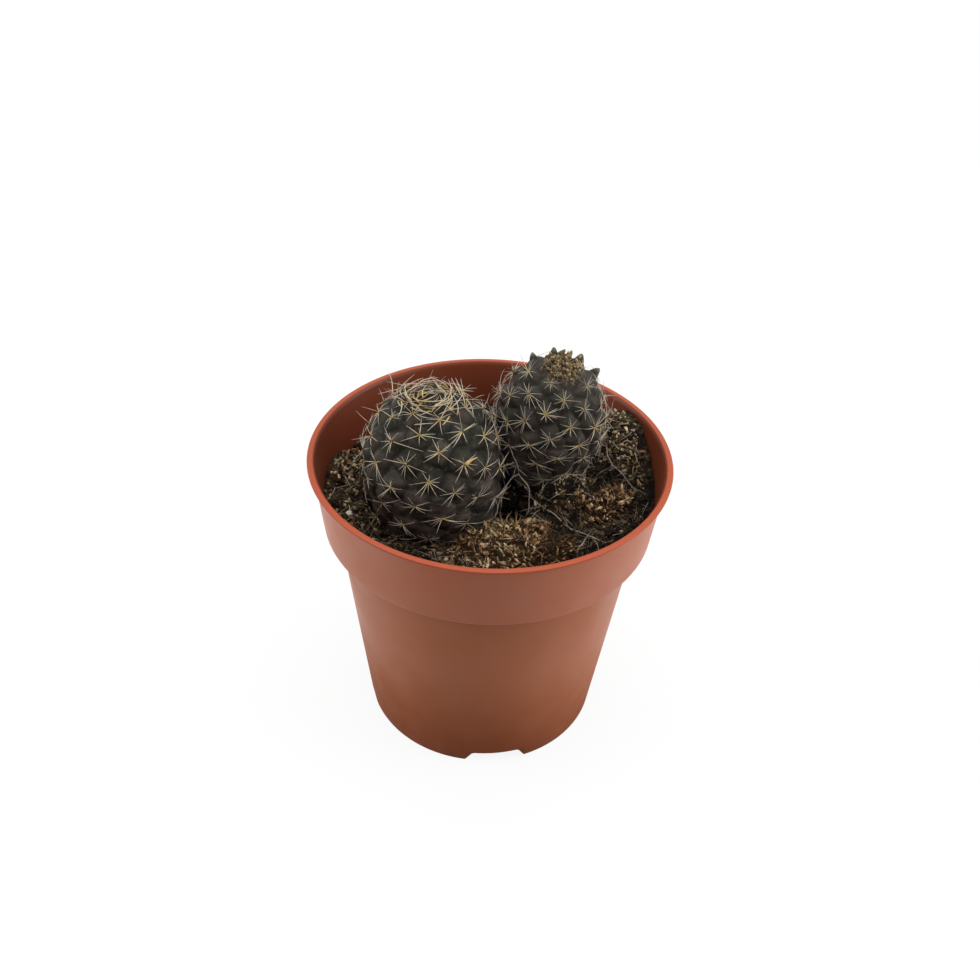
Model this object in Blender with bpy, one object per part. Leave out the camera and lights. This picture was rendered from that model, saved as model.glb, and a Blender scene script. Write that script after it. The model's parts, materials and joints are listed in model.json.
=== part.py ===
"""Potted cactus: two globular stems, with their tap roots, in potting mix in a plastic nursery pot.

Units are metres, +Z is up. The origin is on the pot's axis, on the plane that the pot stands on.
-Y is the front: the left stem is on -X and the right stem on +X.
"""

import math

import bmesh
import bpy
from mathutils import Vector
from mathutils.bvhtree import BVHTree

# ---------------------------------------------------------------- driving dimensions
GAP = 0.0003  # between pieces that touch
GOLDEN_ANGLE = math.radians(137.508)

# Pot: a thin moulded cone with a stepped collar, a lip, and a raised floor on a notched foot ring.
POT_HEIGHT = 0.075
RIM_RADIUS = 0.0425
LIP_OVERHANG = 0.0012
LIP_HEIGHT = 0.0007
LIP_WIDTH = 0.0018
WALL = 0.0007
COLLAR_HEIGHT = 0.0182
COLLAR_FOOT_RADIUS = 0.0394
BODY_TOP_RADIUS = 0.0362
BODY_FOOT_RADIUS = 0.0293
FOOT_RING_HEIGHT = 0.0036
FOOT_RING_WIDTH = 0.0011
FLOOR_THICKNESS = 0.0010
POT_SEGMENTS = 72
NOTCH_COUNT = 4
NOTCH_WIDTH = 0.0154
NOTCH_HEIGHT = 0.0034
NOTCH_SLOPE = 0.0019  # how far each end of a notch leans in
NOTCH_TURN = math.radians(9)  # the front notch sits a little to the right of -Y
DRAIN_COUNT = 6
DRAIN_RADIUS = 0.0028
DRAIN_RING_RADIUS = 0.0200
CENTRE_DRAIN_RADIUS = 0.0035

# Potting mix: level, then swells and hollows as (x, y, radius, height), then long low waves.
SOIL_LEVEL = 0.0623
SOIL_SWELLS = (
    (0.033, 0.022, 0.0135, 0.0090),  # heaped against the wall behind the right stem
    (0.033, -0.004, 0.0200, 0.0026),
    (-0.036, 0.006, 0.0070, 0.0024),  # heaped against the wall on the left
    (0.018, -0.0040, 0.0062, 0.0026),  # banked up against the right stem
    (-0.015, -0.023, 0.0125, -0.0036),  # sunk in front of the left stem
    (-0.010, 0.032, 0.0130, 0.0014),
    (0.0066, -0.0028, 0.0044, -0.0100),  # dark pit between the stems
)
SOIL_WAVES = (  # (waves per metre, direction, phase, height)
    (42.0, 0.4, 0.3, 0.00050),
    (61.0, 1.7, 1.9, 0.00040),
    (83.0, 2.6, 4.1, 0.00025),
)
SOIL_RINGS = 14
SOIL_SEGMENTS = 60

# Stems: a fuller shape than an ellipsoid, narrowing below ground into a tap root.
STEM_POWER = 2.3  # 2 would be an ellipse in profile
STEM_FOOT_POWER = 3.0  # the lower half is fuller
TUBERCLE_HEIGHT = 0.0017
TUBERCLE_LIFT = 0.30  # how far a tubercle points up along the stem
TUBERCLE_SPREAD = 0.64  # its half width, to the spacing of the areoles
NECK_ANGLE = math.radians(132)  # from the crown, where the stem starts to narrow into the root
LAST_AREOLE_ANGLE = math.radians(126)
POCKET_GAP = 0.00045  # round a stem, where both sides are faceted
ROOT_RADIUS = 0.0034
ROOT_DEPTH = 0.0360  # from the stem's centre to the root's end
FADE_START = 0.0575  # tubercles are worn away below ground
FADE_END = 0.0615
LEFT_STEM = dict(
    centre=Vector((-0.0133, -0.0026, 0.0720)),
    radius=0.0163,
    half_height=0.0198,
    lean=(-0.087, 0.045),  # to +X, to -Y
    first_angle=3.92,
    areole_area=47e-6,
    crowding=12.0,  # how many areoles are crowded at the crown
    turn=1,
)
RIGHT_STEM = dict(
    centre=Vector((0.0131, 0.0081, 0.0790)),
    radius=0.0132,
    half_height=0.0172,
    lean=(0.135, 0.16),
    first_angle=-0.19,
    areole_area=31e-6,
    crowding=3.5,
    turn=-1,
)

# Loose pieces on the potting mix: (centre x, centre y, half length, half width, turn, thickness)
MOSS_FRONT = (0.0062, -0.0220, 0.0132, 0.0094, math.radians(-6), 0.0052)
MOSS_RIGHT = (0.0268, -0.0060, 0.0070, 0.0048, math.radians(30), 0.0026)
MOSS_EDGE = 0.0005
PERLITE = (-0.0323, -0.0098, 0.0008)  # x, y, radius
BARK_ENDS = ((-0.0368, 0.0046), (-0.0330, 0.0026))
BARK_WIDTH = 0.0022
BARK_THICKNESS = 0.0009
FIBRE_RADIUS = 0.00028
ROOT_FIBRE = ((0.0116, -0.0070), (0.0150, -0.0102), (0.0199, -0.0144), (0.0257, -0.0176))
STRAW_RADIUS = 0.00035
STRAW_FRONT = ((0.0206, -0.0212), (0.0224, -0.0183))
STRAW_RIGHT = ((0.0290, 0.0062), (0.0316, 0.0031), (0.0344, -0.0003))
FIBRE_SIDES = 6

# ---------------------------------------------------------------- materials
COLOURS = {  # linear RGB, roughness
    "terracotta_plastic": ((0.55, 0.13, 0.07), 0.42),
    "potting_mix": ((0.030, 0.020, 0.013), 0.95),
    "cactus_skin": ((0.040, 0.055, 0.042), 0.60),
    "dry_moss": ((0.20, 0.13, 0.06), 0.95),
    "perlite": ((0.70, 0.68, 0.62), 0.85),
    "bark": ((0.13, 0.07, 0.035), 0.90),
    "dry_fibre": ((0.42, 0.34, 0.24), 0.80),
}


def make_material(name):
    colour, roughness = COLOURS[name]
    material = bpy.data.materials.new(name)
    material.use_nodes = True
    shader = material.node_tree.nodes["Principled BSDF"]
    shader.inputs["Base Color"].default_value = (*colour, 1.0)
    shader.inputs["Roughness"].default_value = roughness
    return material


# ---------------------------------------------------------------- general shapes
def finish(name, bm, material, crease=None):
    """Turns a bmesh into a smooth-shaded object. Edges sharper than the crease angle stay sharp."""
    bmesh.ops.recalc_face_normals(bm, faces=bm.faces)
    mesh = bpy.data.meshes.new(name)
    bm.to_mesh(mesh)
    bm.free()
    mesh.polygons.foreach_set("use_smooth", [True] * len(mesh.polygons))
    if crease is not None:
        mesh.set_sharp_from_angle(angle=crease)
    if material is not None:
        mesh.materials.append(material)
    obj = bpy.data.objects.new(name, mesh)
    bpy.context.scene.collection.objects.link(obj)
    return obj


def skin_rows(bm, rows):
    """Joins rows of points round an axis into a closed skin. A row of one point is a pole."""
    rows = [[bm.verts.new(point) for point in row] for row in rows]
    for lower, upper in zip(rows, rows[1:]):
        count = max(len(lower), len(upper))
        for i in range(count):
            j = (i + 1) % count
            if len(lower) == 1:
                bm.faces.new((lower[0], upper[j], upper[i]))
            elif len(upper) == 1:
                bm.faces.new((lower[i], lower[j], upper[0]))
            else:
                bm.faces.new((lower[i], lower[j], upper[j], upper[i]))


def circle(radius, height, segments):
    if radius == 0:
        return [Vector((0, 0, height))]
    turn = 2 * math.pi / segments
    return [
        Vector((radius * math.cos(i * turn), radius * math.sin(i * turn), height))
        for i in range(segments)
    ]


def cut(obj, cutter):
    """Takes the cutter's solid out of the object."""
    cutter.hide_render = True
    cutter.display_type = "WIRE"
    modifier = obj.modifiers.new(cutter.name, "BOOLEAN")
    modifier.object = cutter
    modifier.operation = "DIFFERENCE"
    modifier.solver = "EXACT"


def surface_height(trees, x, y):
    """Height of the highest of these surfaces under a point."""
    hits = [tree.ray_cast(Vector((x, y, 0.2)), Vector((0, 0, -1)))[0] for tree in trees]
    return max(hit.z for hit in hits if hit is not None)


def tree_of(obj):
    graph = bpy.context.evaluated_depsgraph_get()
    graph.update()
    return BVHTree.FromObject(obj, graph)


def smooth_step(low, high, value):
    t = min(max((value - low) / (high - low), 0.0), 1.0)
    return t * t * (3 - 2 * t)


# ---------------------------------------------------------------- pot
COLLAR_FOOT = POT_HEIGHT - COLLAR_HEIGHT
COLLAR_TOP = POT_HEIGHT - LIP_HEIGHT
COLLAR_TOP_RADIUS = RIM_RADIUS - LIP_OVERHANG
FLOOR_TOP = FOOT_RING_HEIGHT + FLOOR_THICKNESS


def outer_body_radius(height):
    return BODY_FOOT_RADIUS + (BODY_TOP_RADIUS - BODY_FOOT_RADIUS) * height / COLLAR_FOOT


def inner_radius(height):
    """Inside radius of the pot at a height above its floor."""
    if height < COLLAR_FOOT + WALL:
        return outer_body_radius(height) - WALL
    part = (height - COLLAR_FOOT) / (COLLAR_TOP - COLLAR_FOOT)
    return COLLAR_FOOT_RADIUS + (COLLAR_TOP_RADIUS - COLLAR_FOOT_RADIUS) * part - WALL


def notch_cutter():
    """One solid for each notch in the foot ring, and one for each drainage hole."""
    bm = bmesh.new()
    for k in range(NOTCH_COUNT):
        angle = -math.pi / 2 + NOTCH_TURN + k * 2 * math.pi / NOTCH_COUNT
        out = Vector((math.cos(angle), math.sin(angle), 0))
        side = Vector((-math.sin(angle), math.cos(angle), 0))
        ends = []
        for reach in (BODY_FOOT_RADIUS - 3 * FOOT_RING_WIDTH, BODY_FOOT_RADIUS + 0.002):
            half = NOTCH_WIDTH / 2
            outline = (
                (-half - NOTCH_SLOPE, -NOTCH_HEIGHT),
                (half + NOTCH_SLOPE, -NOTCH_HEIGHT),
                (half - NOTCH_SLOPE, NOTCH_HEIGHT),
                (-half + NOTCH_SLOPE, NOTCH_HEIGHT),
            )
            ends.append([bm.verts.new(out * reach + side * s + Vector((0, 0, z))) for s, z in outline])
        inner, outer = ends
        bm.faces.new(inner)
        bm.faces.new(outer[::-1])
        for i in range(4):
            j = (i + 1) % 4
            bm.faces.new((inner[i], inner[j], outer[j], outer[i]))
    holes = [(0.0, 0.0, CENTRE_DRAIN_RADIUS)]
    for k in range(DRAIN_COUNT):
        angle = (k + 0.5) * 2 * math.pi / DRAIN_COUNT
        holes.append((DRAIN_RING_RADIUS * math.cos(angle), DRAIN_RING_RADIUS * math.sin(angle), DRAIN_RADIUS))
    for x, y, radius in holes:
        rows = []
        for r, z in ((0, 0.5), (radius, 0.5), (radius, FLOOR_TOP * 1000 + 0.6), (0, FLOOR_TOP * 1000 + 0.6)):
            rows.append([p + Vector((x, y, 0)) for p in circle(r, z / 1000, 16)])
        skin_rows(bm, rows)
    return finish("pot_cutter", bm, None)


def make_pot(material):
    foot = BODY_FOOT_RADIUS
    profile = (
        (0, FOOT_RING_HEIGHT),
        (foot - FOOT_RING_WIDTH, FOOT_RING_HEIGHT),
        (foot - FOOT_RING_WIDTH - 0.0001, 0.0003),
        (foot - FOOT_RING_WIDTH + 0.0002, 0),
        (foot - 0.0004, 0),
        (foot - 0.0001, 0.0001),
        (outer_body_radius(0.0005), 0.0005),
        (outer_body_radius(0.0200), 0.0200),
        (outer_body_radius(0.0400), 0.0400),
        (BODY_TOP_RADIUS, COLLAR_FOOT),
        (COLLAR_FOOT_RADIUS - 0.0002, COLLAR_FOOT),
        (COLLAR_FOOT_RADIUS, COLLAR_FOOT + 0.0002),
        (COLLAR_TOP_RADIUS, COLLAR_TOP),
        (RIM_RADIUS - 0.0002, COLLAR_TOP),
        (RIM_RADIUS, COLLAR_TOP + 0.0002),
        (RIM_RADIUS, POT_HEIGHT - 0.0004),
        (RIM_RADIUS - 0.0004, POT_HEIGHT),
        (RIM_RADIUS - LIP_WIDTH, POT_HEIGHT),
        (inner_radius(POT_HEIGHT - 0.0006), POT_HEIGHT - 0.0006),
        (inner_radius(COLLAR_FOOT + WALL), COLLAR_FOOT + WALL),
        (outer_body_radius(COLLAR_FOOT) - WALL, COLLAR_FOOT + WALL),
        (inner_radius(0.0300), 0.0300),
        (inner_radius(FLOOR_TOP + 0.0008), FLOOR_TOP + 0.0008),
        (inner_radius(FLOOR_TOP) - 0.0008, FLOOR_TOP),
        (0, FLOOR_TOP),
    )
    bm = bmesh.new()
    skin_rows(bm, [circle(radius, height, POT_SEGMENTS) for radius, height in profile])
    pot = finish("pot", bm, material, crease=math.radians(35))
    cut(pot, notch_cutter())
    return pot


# ---------------------------------------------------------------- stems
def stem_frame(stem):
    """The stem's own axes: e1 and e2 across it, and its axis up to the crown."""
    lean_x, lean_y = stem["lean"]
    axis = Vector((math.sin(lean_x), -math.sin(lean_y), 1)).normalized()
    e1 = Vector((0, 1, 0)).cross(axis).normalized()
    return e1, axis.cross(e1), axis


def stem_profile(stem, polar):
    """Radius, and height above the centre, of the smooth body at an angle from the crown."""
    above = min(polar, NECK_ANGLE)
    power = 2 / (STEM_FOOT_POWER if above > math.pi / 2 else STEM_POWER)
    radius = stem["radius"] * max(math.sin(above), 0.0) ** power
    height = stem["half_height"] * math.copysign(abs(math.cos(above)) ** power, math.cos(above))
    if polar > NECK_ANGLE:
        down = (polar - NECK_ANGLE) / (math.pi - NECK_ANGLE)
        radius = ROOT_RADIUS + (radius - ROOT_RADIUS) * (1 - down) ** 2
        radius *= math.sqrt(max(1 - down**6, 0.0))
        height += (-ROOT_DEPTH - height) * down
    return radius, height


def stem_point(stem, polar, turn, out=0.0, lift=0.0):
    """A point at a distance out from the smooth body, and lifted along the stem's axis."""
    e1, e2, axis = stem_frame(stem)
    radius, height = stem_profile(stem, polar)
    r0, h0 = stem_profile(stem, max(polar - 0.01, 0.0))
    r1, h1 = stem_profile(stem, min(polar + 0.01, math.pi))
    normal = Vector((h0 - h1, r1 - r0)).normalized()
    across = e1 * math.cos(turn) + e2 * math.sin(turn)
    point = stem["centre"] + across * (radius + out * normal.x)
    return point + axis * (height + out * normal.y + lift)


def areoles(stem):
    """(polar angle, turn) of each areole, spiralling down from the crown by the golden angle."""
    steps = 600
    area, table = 0.0, [(0.0, 0.0)]
    last = stem_profile(stem, 0.0)
    for i in range(1, steps + 1):
        polar = LAST_AREOLE_ANGLE * i / steps
        here = stem_profile(stem, polar)
        area += math.pi * (last[0] + here[0]) * math.dist(last, here)
        table.append((area, polar))
        last = here
    found, row, i = [], 0, 0
    while True:
        rank = i + 0.5
        wanted = stem["areole_area"] * (
            rank - stem["crowding"] * (1 - math.exp(-rank / stem["crowding"]))
        )
        while row < steps and table[row][0] < wanted:
            row += 1
        if table[row][0] < wanted:
            return found
        found.append((table[row][1], stem["first_angle"] + stem["turn"] * GOLDEN_ANGLE * i))
        i += 1


def on_sphere(polar, turn):
    return Vector((math.sin(polar) * math.cos(turn), math.sin(polar) * math.sin(turn), math.cos(polar)))


def press_plane(one, other):
    """Where two neighbouring stems press on each other: a point, and the way to the other stem."""
    way = other["centre"] - one["centre"]
    room = way.length - one["radius"] - other["radius"]
    way.normalize()
    return one["centre"] + way * (one["radius"] + room / 2), way


def make_stem(name, stem, neighbour, material):
    """A skin over the lattice of areoles, then each point raised by how near it is to one."""
    tips = [on_sphere(*areole) for areole in areoles(stem)]
    rings = []
    for polar, count in ((138, 14), (150, 10), (164, 8)):
        rings += [on_sphere(math.radians(polar), 2 * math.pi * i / count) for i in range(count)]
    rings.append(Vector((0, 0, -1)))
    bm = bmesh.new()
    for direction in tips + rings:
        bm.verts.new(direction)
    bmesh.ops.convex_hull(bm, input=bm.verts)
    bmesh.ops.triangulate(bm, faces=bm.faces)
    bmesh.ops.subdivide_edges(bm, edges=bm.edges, cuts=3, use_grid_fill=True)
    bmesh.ops.triangulate(bm, faces=bm.faces)
    scale = math.sqrt(stem["areole_area"]) / stem["radius"]
    point, way = press_plane(stem, neighbour)
    for vert in bm.verts:
        direction = vert.co.normalized()
        polar = math.acos(max(-1.0, min(1.0, direction.z)))
        turn = math.atan2(direction.y, direction.x)
        nearest = sorted((direction - tip).length for tip in tips)[:2]
        crowd = min(nearest[1] / scale, 1.0)  # smaller tubercles where they are crowded
        spread = nearest[0] / (scale * TUBERCLE_SPREAD * max(crowd, 0.4))
        rise = max(1 - spread**2, 0.0) * max(crowd, 0.5)
        rise *= smooth_step(FADE_START, FADE_END, stem_point(stem, polar, turn).z)
        rise *= TUBERCLE_HEIGHT
        co = stem_point(stem, polar, turn, out=rise - TUBERCLE_HEIGHT, lift=TUBERCLE_LIFT * rise)
        over = (co - point).dot(way) + GAP / 2
        vert.co = co - way * over if over > 0 else co
    return finish(name, bm, material)


def stem_pocket(name, stem):
    """The hollow that a stem fills in the potting mix, as a solid to cut with."""
    rows = []
    for polar in (0, 25, 50, 70, 84, 92, 100, 108, 116, 124, 132, 138, 145, 152, 160, 169, 180):
        polar = math.radians(polar)
        row = []
        for i in range(1 if polar in (0, math.pi) else 32):
            turn = 2 * math.pi * i / 32
            worn = 1 - smooth_step(FADE_START, FADE_END, stem_point(stem, polar, turn).z)
            row.append(stem_point(stem, polar, turn, out=POCKET_GAP - TUBERCLE_HEIGHT * worn))
        if polar == math.pi:
            row = [stem_point(stem, polar, 0.0) - Vector((0, 0, GAP))]
        rows.append(row)
    bm = bmesh.new()
    skin_rows(bm, rows)
    return finish(name, bm, None)


# ---------------------------------------------------------------- potting mix
def soil_height(x, y):
    height = SOIL_LEVEL
    for cx, cy, radius, rise in SOIL_SWELLS:
        height += rise * math.exp(-((x - cx) ** 2 + (y - cy) ** 2) / radius**2)
    for waves, way, phase, rise in SOIL_WAVES:
        along = x * math.cos(way) + y * math.sin(way)
        height += rise * math.sin(2 * math.pi * waves * along + phase)
    return height


def make_potting_mix(material):
    """Fills the pot up to the mix's uneven surface, just clear of the pot."""
    ledge = COLLAR_FOOT + WALL
    turns = [2 * math.pi * i / SOIL_SEGMENTS for i in range(SOIL_SEGMENTS)]
    edge = [inner_radius(SOIL_LEVEL) - GAP] * SOIL_SEGMENTS
    for _ in range(4):  # the edge's radius depends on its height, and its height on its radius
        edge = [
            inner_radius(soil_height(r * math.cos(t), r * math.sin(t))) - GAP for r, t in zip(edge, turns)
        ]
    rows = [[Vector((0, 0, soil_height(0, 0)))]]
    for k in range(1, SOIL_RINGS + 1):
        row = []
        for radius, turn in zip(edge, turns):
            x, y = (radius * k / SOIL_RINGS * f(turn) for f in (math.cos, math.sin))
            row.append(Vector((x, y, soil_height(x, y))))
        rows.append(row)
    rows.append(circle(inner_radius(ledge + GAP) - GAP, ledge + GAP, SOIL_SEGMENTS))
    rows.append(circle(outer_body_radius(COLLAR_FOOT) - WALL - GAP, ledge + GAP, SOIL_SEGMENTS))
    low = FLOOR_TOP + GAP
    rows.append(circle(inner_radius(0.0300) - GAP, 0.0300, SOIL_SEGMENTS))
    rows.append(circle(inner_radius(low + 0.001) - GAP, low + 0.001, SOIL_SEGMENTS))
    rows.append(circle(inner_radius(low) - GAP - 0.001, low, SOIL_SEGMENTS))
    rows.append([Vector((0, 0, low))])
    bm = bmesh.new()
    skin_rows(bm, rows)
    mix = finish("potting_mix", bm, material, crease=math.radians(50))
    cut(mix, stem_pocket("left_pocket", LEFT_STEM))
    cut(mix, stem_pocket("right_pocket", RIGHT_STEM))
    return mix


# ---------------------------------------------------------------- loose pieces on the mix
def make_moss(name, clump, material, ground):
    """A low cushion with a ragged outline, lying on the potting mix."""
    cx, cy, half_length, half_width, turn, thickness = clump
    segments, rings = 28, 6
    top, bottom = [], []
    for k in range(rings + 1):
        upper, lower = [], []
        for i in range(1 if k == 0 else segments):
            angle = 2 * math.pi * i / segments
            ragged = 1 + 0.10 * math.sin(3 * angle + 1.0) + 0.07 * math.sin(7 * angle + 0.4)
            u = half_length * math.cos(angle) * ragged * k / rings
            v = half_width * math.sin(angle) * ragged * k / rings
            x = cx + u * math.cos(turn) - v * math.sin(turn)
            y = cy + u * math.sin(turn) + v * math.cos(turn)
            base = max(surface_height([ground], x, y), soil_height(x, y)) + GAP
            dome = MOSS_EDGE + thickness * (1 - (k / rings) ** 2) ** 0.8
            lump = 0.00045 * math.sin(700 * x + 1.3) * math.sin(820 * y + 0.5) * (1 - k / rings)
            upper.append(Vector((x, y, base + dome + lump)))
            lower.append(Vector((x, y, base)))
        top.append(upper)
        bottom.append(lower)
    bm = bmesh.new()
    skin_rows(bm, top + bottom[::-1])
    return finish(name, bm, material)


def make_perlite(material, ground):
    x, y, radius = PERLITE
    bm = bmesh.new()
    bmesh.ops.create_icosphere(bm, subdivisions=2, radius=radius)
    for vert in bm.verts:
        swell = 1 + 0.10 * math.sin(2600 * vert.co.x + 1) * math.sin(2300 * vert.co.y)
        vert.co = Vector((vert.co.x * 1.1, vert.co.y * 0.9, vert.co.z * 0.75)) * swell
    drop = max(
        surface_height([ground], x + v.co.x, y + v.co.y) - v.co.z for v in bm.verts if v.co.z < 0
    )
    bmesh.ops.translate(bm, verts=bm.verts, vec=(x, y, drop + GAP))
    return finish("perlite_grain", bm, material)


def make_bark(material, ground):
    """A flat chip of bark with pointed ends, following the mix under it."""
    (x0, y0), (x1, y1) = BARK_ENDS
    way = Vector((x1 - x0, y1 - y0)).normalized()
    side = Vector((-way.y, way.x))
    rows = []
    for k, width in enumerate((0.25, 0.8, 1.0, 0.85, 0.3)):
        middle = Vector((x0, y0)).lerp(Vector((x1, y1)), k / 4)
        half = BARK_WIDTH / 2 * width
        ends = [middle - side * half, middle + side * half]
        base = max(surface_height([ground], p.x, p.y) for p in [middle, *ends]) + GAP
        rise = BARK_THICKNESS * (0.6 + 0.4 * width)
        rows.append(
            [Vector((p.x, p.y, base)) for p in ends] + [Vector((p.x, p.y, base + rise)) for p in ends[::-1]]
        )
    bm = bmesh.new()
    first, last = ([sum(rows[i], Vector()) / 4] for i in (0, -1))
    skin_rows(bm, [first, *rows, last])
    return finish("bark_chip", bm, material, crease=math.radians(30))


def make_fibre(name, path, radius, rise, material, grounds):
    """A thin rod along a path over the potting mix, lifted in the middle by the rise."""
    points = []
    steps = 4
    for (x0, y0), (x1, y1) in zip(path, path[1:]):
        for k in range(steps):
            t = k / steps
            points.append((x0 + (x1 - x0) * t, y0 + (y1 - y0) * t))
    points.append(path[-1])
    count = len(points) - 1
    line = []
    for i, (x, y) in enumerate(points):
        under = max(
            surface_height(grounds, x + dx, y + dy) for dx in (-0.0006, 0, 0.0006) for dy in (-0.0006, 0, 0.0006)
        )
        arch = rise * math.sin(math.pi * i / count)
        line.append(Vector((x, y, under + radius + GAP + arch)))
    rows = [[line[0]]]
    for i, here in enumerate(line):
        along = (line[min(i + 1, count)] - line[max(i - 1, 0)]).normalized()
        side = along.cross(Vector((0, 0, 1))).normalized()
        up = side.cross(along)
        width = radius * (0.55 + 0.45 * math.sin(math.pi * (i + 1) / (count + 2)))
        turns = [2 * math.pi * k / FIBRE_SIDES for k in range(FIBRE_SIDES)]
        rows.append([here + side * width * math.cos(t) + up * width * math.sin(t) for t in turns])
    rows[0] = [line[0] - (line[1] - line[0]).normalized() * radius]
    rows.append([line[-1] + (line[-1] - line[-2]).normalized() * radius])
    bm = bmesh.new()
    skin_rows(bm, rows)
    return finish(name, bm, material)


def clear_scene():
    for obj in list(bpy.data.objects):
        bpy.data.objects.remove(obj, do_unlink=True)


def main():
    clear_scene()
    materials = {name: make_material(name) for name in COLOURS}
    make_pot(materials["terracotta_plastic"])
    mix = make_potting_mix(materials["potting_mix"])
    make_stem("cactus_left", LEFT_STEM, RIGHT_STEM, materials["cactus_skin"])
    make_stem("cactus_right", RIGHT_STEM, LEFT_STEM, materials["cactus_skin"])
    ground = tree_of(mix)
    front = make_moss("moss_clump_front", MOSS_FRONT, materials["dry_moss"], ground)
    right = make_moss("moss_clump_right", MOSS_RIGHT, materials["dry_moss"], ground)
    make_perlite(materials["perlite"], ground)
    make_bark(materials["bark"], ground)
    grounds = [ground, tree_of(front), tree_of(right)]
    fibre = materials["dry_fibre"]
    make_fibre("root_fibre", ROOT_FIBRE, FIBRE_RADIUS, 0.0012, fibre, grounds)
    make_fibre("straw_front", STRAW_FRONT, STRAW_RADIUS, 0.0, fibre, grounds)
    make_fibre("straw_right", STRAW_RIGHT, STRAW_RADIUS, 0.0, fibre, grounds)


main()
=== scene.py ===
"""Looks of the potted cactus: pot, two spiny stems, potting mix, moss and loose bits."""

import contextlib
import json
import math
import random

import bmesh
import bpy
import numpy as np
from mathutils import Matrix, Vector, noise
from mathutils.bvhtree import BVHTree

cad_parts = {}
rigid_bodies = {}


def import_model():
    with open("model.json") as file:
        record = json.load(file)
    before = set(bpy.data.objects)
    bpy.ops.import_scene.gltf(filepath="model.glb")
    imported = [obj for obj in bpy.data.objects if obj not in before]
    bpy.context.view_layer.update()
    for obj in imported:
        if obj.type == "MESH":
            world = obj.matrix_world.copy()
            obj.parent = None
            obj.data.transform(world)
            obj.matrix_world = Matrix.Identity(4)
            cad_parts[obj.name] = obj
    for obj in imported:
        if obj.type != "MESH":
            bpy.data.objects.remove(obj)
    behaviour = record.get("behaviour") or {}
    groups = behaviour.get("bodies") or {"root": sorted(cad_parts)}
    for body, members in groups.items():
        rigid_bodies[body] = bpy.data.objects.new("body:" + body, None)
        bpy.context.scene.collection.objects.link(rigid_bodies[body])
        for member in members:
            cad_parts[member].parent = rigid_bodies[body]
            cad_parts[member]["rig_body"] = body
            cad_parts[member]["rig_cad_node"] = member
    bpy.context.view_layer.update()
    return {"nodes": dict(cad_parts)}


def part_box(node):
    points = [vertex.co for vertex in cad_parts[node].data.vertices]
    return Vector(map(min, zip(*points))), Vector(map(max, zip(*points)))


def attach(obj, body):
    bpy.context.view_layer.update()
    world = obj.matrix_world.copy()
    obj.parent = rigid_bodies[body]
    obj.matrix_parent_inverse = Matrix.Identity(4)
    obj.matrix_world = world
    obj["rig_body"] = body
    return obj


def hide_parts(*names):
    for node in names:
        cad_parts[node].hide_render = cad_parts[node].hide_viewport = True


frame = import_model()

MM = 0.001
TAU = 2 * math.pi
UP = Vector((0, 0, 1))
GOLDEN_ANGLE = math.radians(137.508)

# ---------------------------------------------------------------- sizes, in metres
POT_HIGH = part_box("pot")[1]
POT_HEIGHT = POT_HIGH.z
RIM_RADIUS = POT_HIGH.x
WALL = 0.7 * MM
LIP_OVERHANG = 1.2 * MM
LIP_HEIGHT = 0.7 * MM
LIP_WIDTH = 1.55 * MM
COLLAR_TOP = POT_HEIGHT - LIP_HEIGHT
COLLAR_FOOT = POT_HEIGHT - 18.2 * MM
LEDGE = COLLAR_FOOT + WALL
COLLAR_TOP_RADIUS = RIM_RADIUS - LIP_OVERHANG
COLLAR_FOOT_RADIUS = 39.4 * MM
BODY_TOP_RADIUS = 36.2 * MM
BODY_FOOT_RADIUS = 29.3 * MM
FOOT_RING_HEIGHT = 3.6 * MM
FOOT_RING_WIDTH = 1.1 * MM
FLOOR_TOP = 4.6 * MM
NOTCH_TURN = math.radians(9)
NOTCH_SIZE = (7 * MM, 19.2 * MM, 6.8 * MM)
NOTCH_TAPER = 0.604
NOTCH_ROUNDING = 0.7 * MM
DRAIN_HOLES = [(0, 0, 3.5 * MM)] + [
    (20 * MM * math.cos((k + 0.5) * TAU / 6), 20 * MM * math.sin((k + 0.5) * TAU / 6), 2.8 * MM) for k in range(6)
]
SOIL_CLEARANCE = 0.15 * MM
# The height given to the mix in the pockets round the stems, and how far out its height is read
POCKET_FILL = 50.0 * MM
EDGE_HOLD = 37.2 * MM
# The heights between which the clods of the mix fade out
CLOD_FADE = (53 * MM, 58 * MM)
# How far out a loose fibre may reach
FIBRE_LIMIT = 38.3 * MM

# Where the tubercles are worn away below ground
FADE_START = 57.5 * MM
FADE_END = 61.5 * MM
# Below this height an areole is under the mix
BURIED = 58.5 * MM

# The camera's place, the point that it looks at, and its tilt
CAMERA_AT = (0.0, -0.2136, 0.2261)
CAMERA_AIM = (0.00023, 0.0, 0.0638)
CAMERA_ROLL = 0.0460
LENS = 41.2
# Soft lamps: name, place, width, height and power
SOFTBOXES = (
    ("overhead softbox", (0.0, 0.25, 2.0), 2.25, 2.25, 32.0),
    ("left softbox", (-0.75, -0.05, 0.30), 0.5, 0.6, 2.8),
    ("right softbox", (0.75, -0.05, 0.30), 0.5, 0.6, 4.2),
)
SKY_ON_OBJECT = 0.45
FLOOR_GREY = 0.105
FLOOR_GLOW = 0.89


# ---------------------------------------------------------------- small tools
def deselect_all():
    if bpy.context.mode != "OBJECT":
        bpy.ops.object.mode_set(mode="OBJECT")
    bpy.ops.object.select_all(action="DESELECT")


def only(obj):
    """Makes an object the only one selected, and the active one."""
    deselect_all()
    obj.select_set(True)
    bpy.context.view_layer.objects.active = obj
    return obj


@contextlib.contextmanager
def editing(obj, action="SELECT"):
    """Edit mode on one object, with all of it selected, or none of it."""
    only(obj)
    bpy.ops.object.mode_set(mode="EDIT")
    bpy.ops.mesh.select_all(action=action)
    yield
    bpy.ops.object.mode_set(mode="OBJECT")


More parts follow.
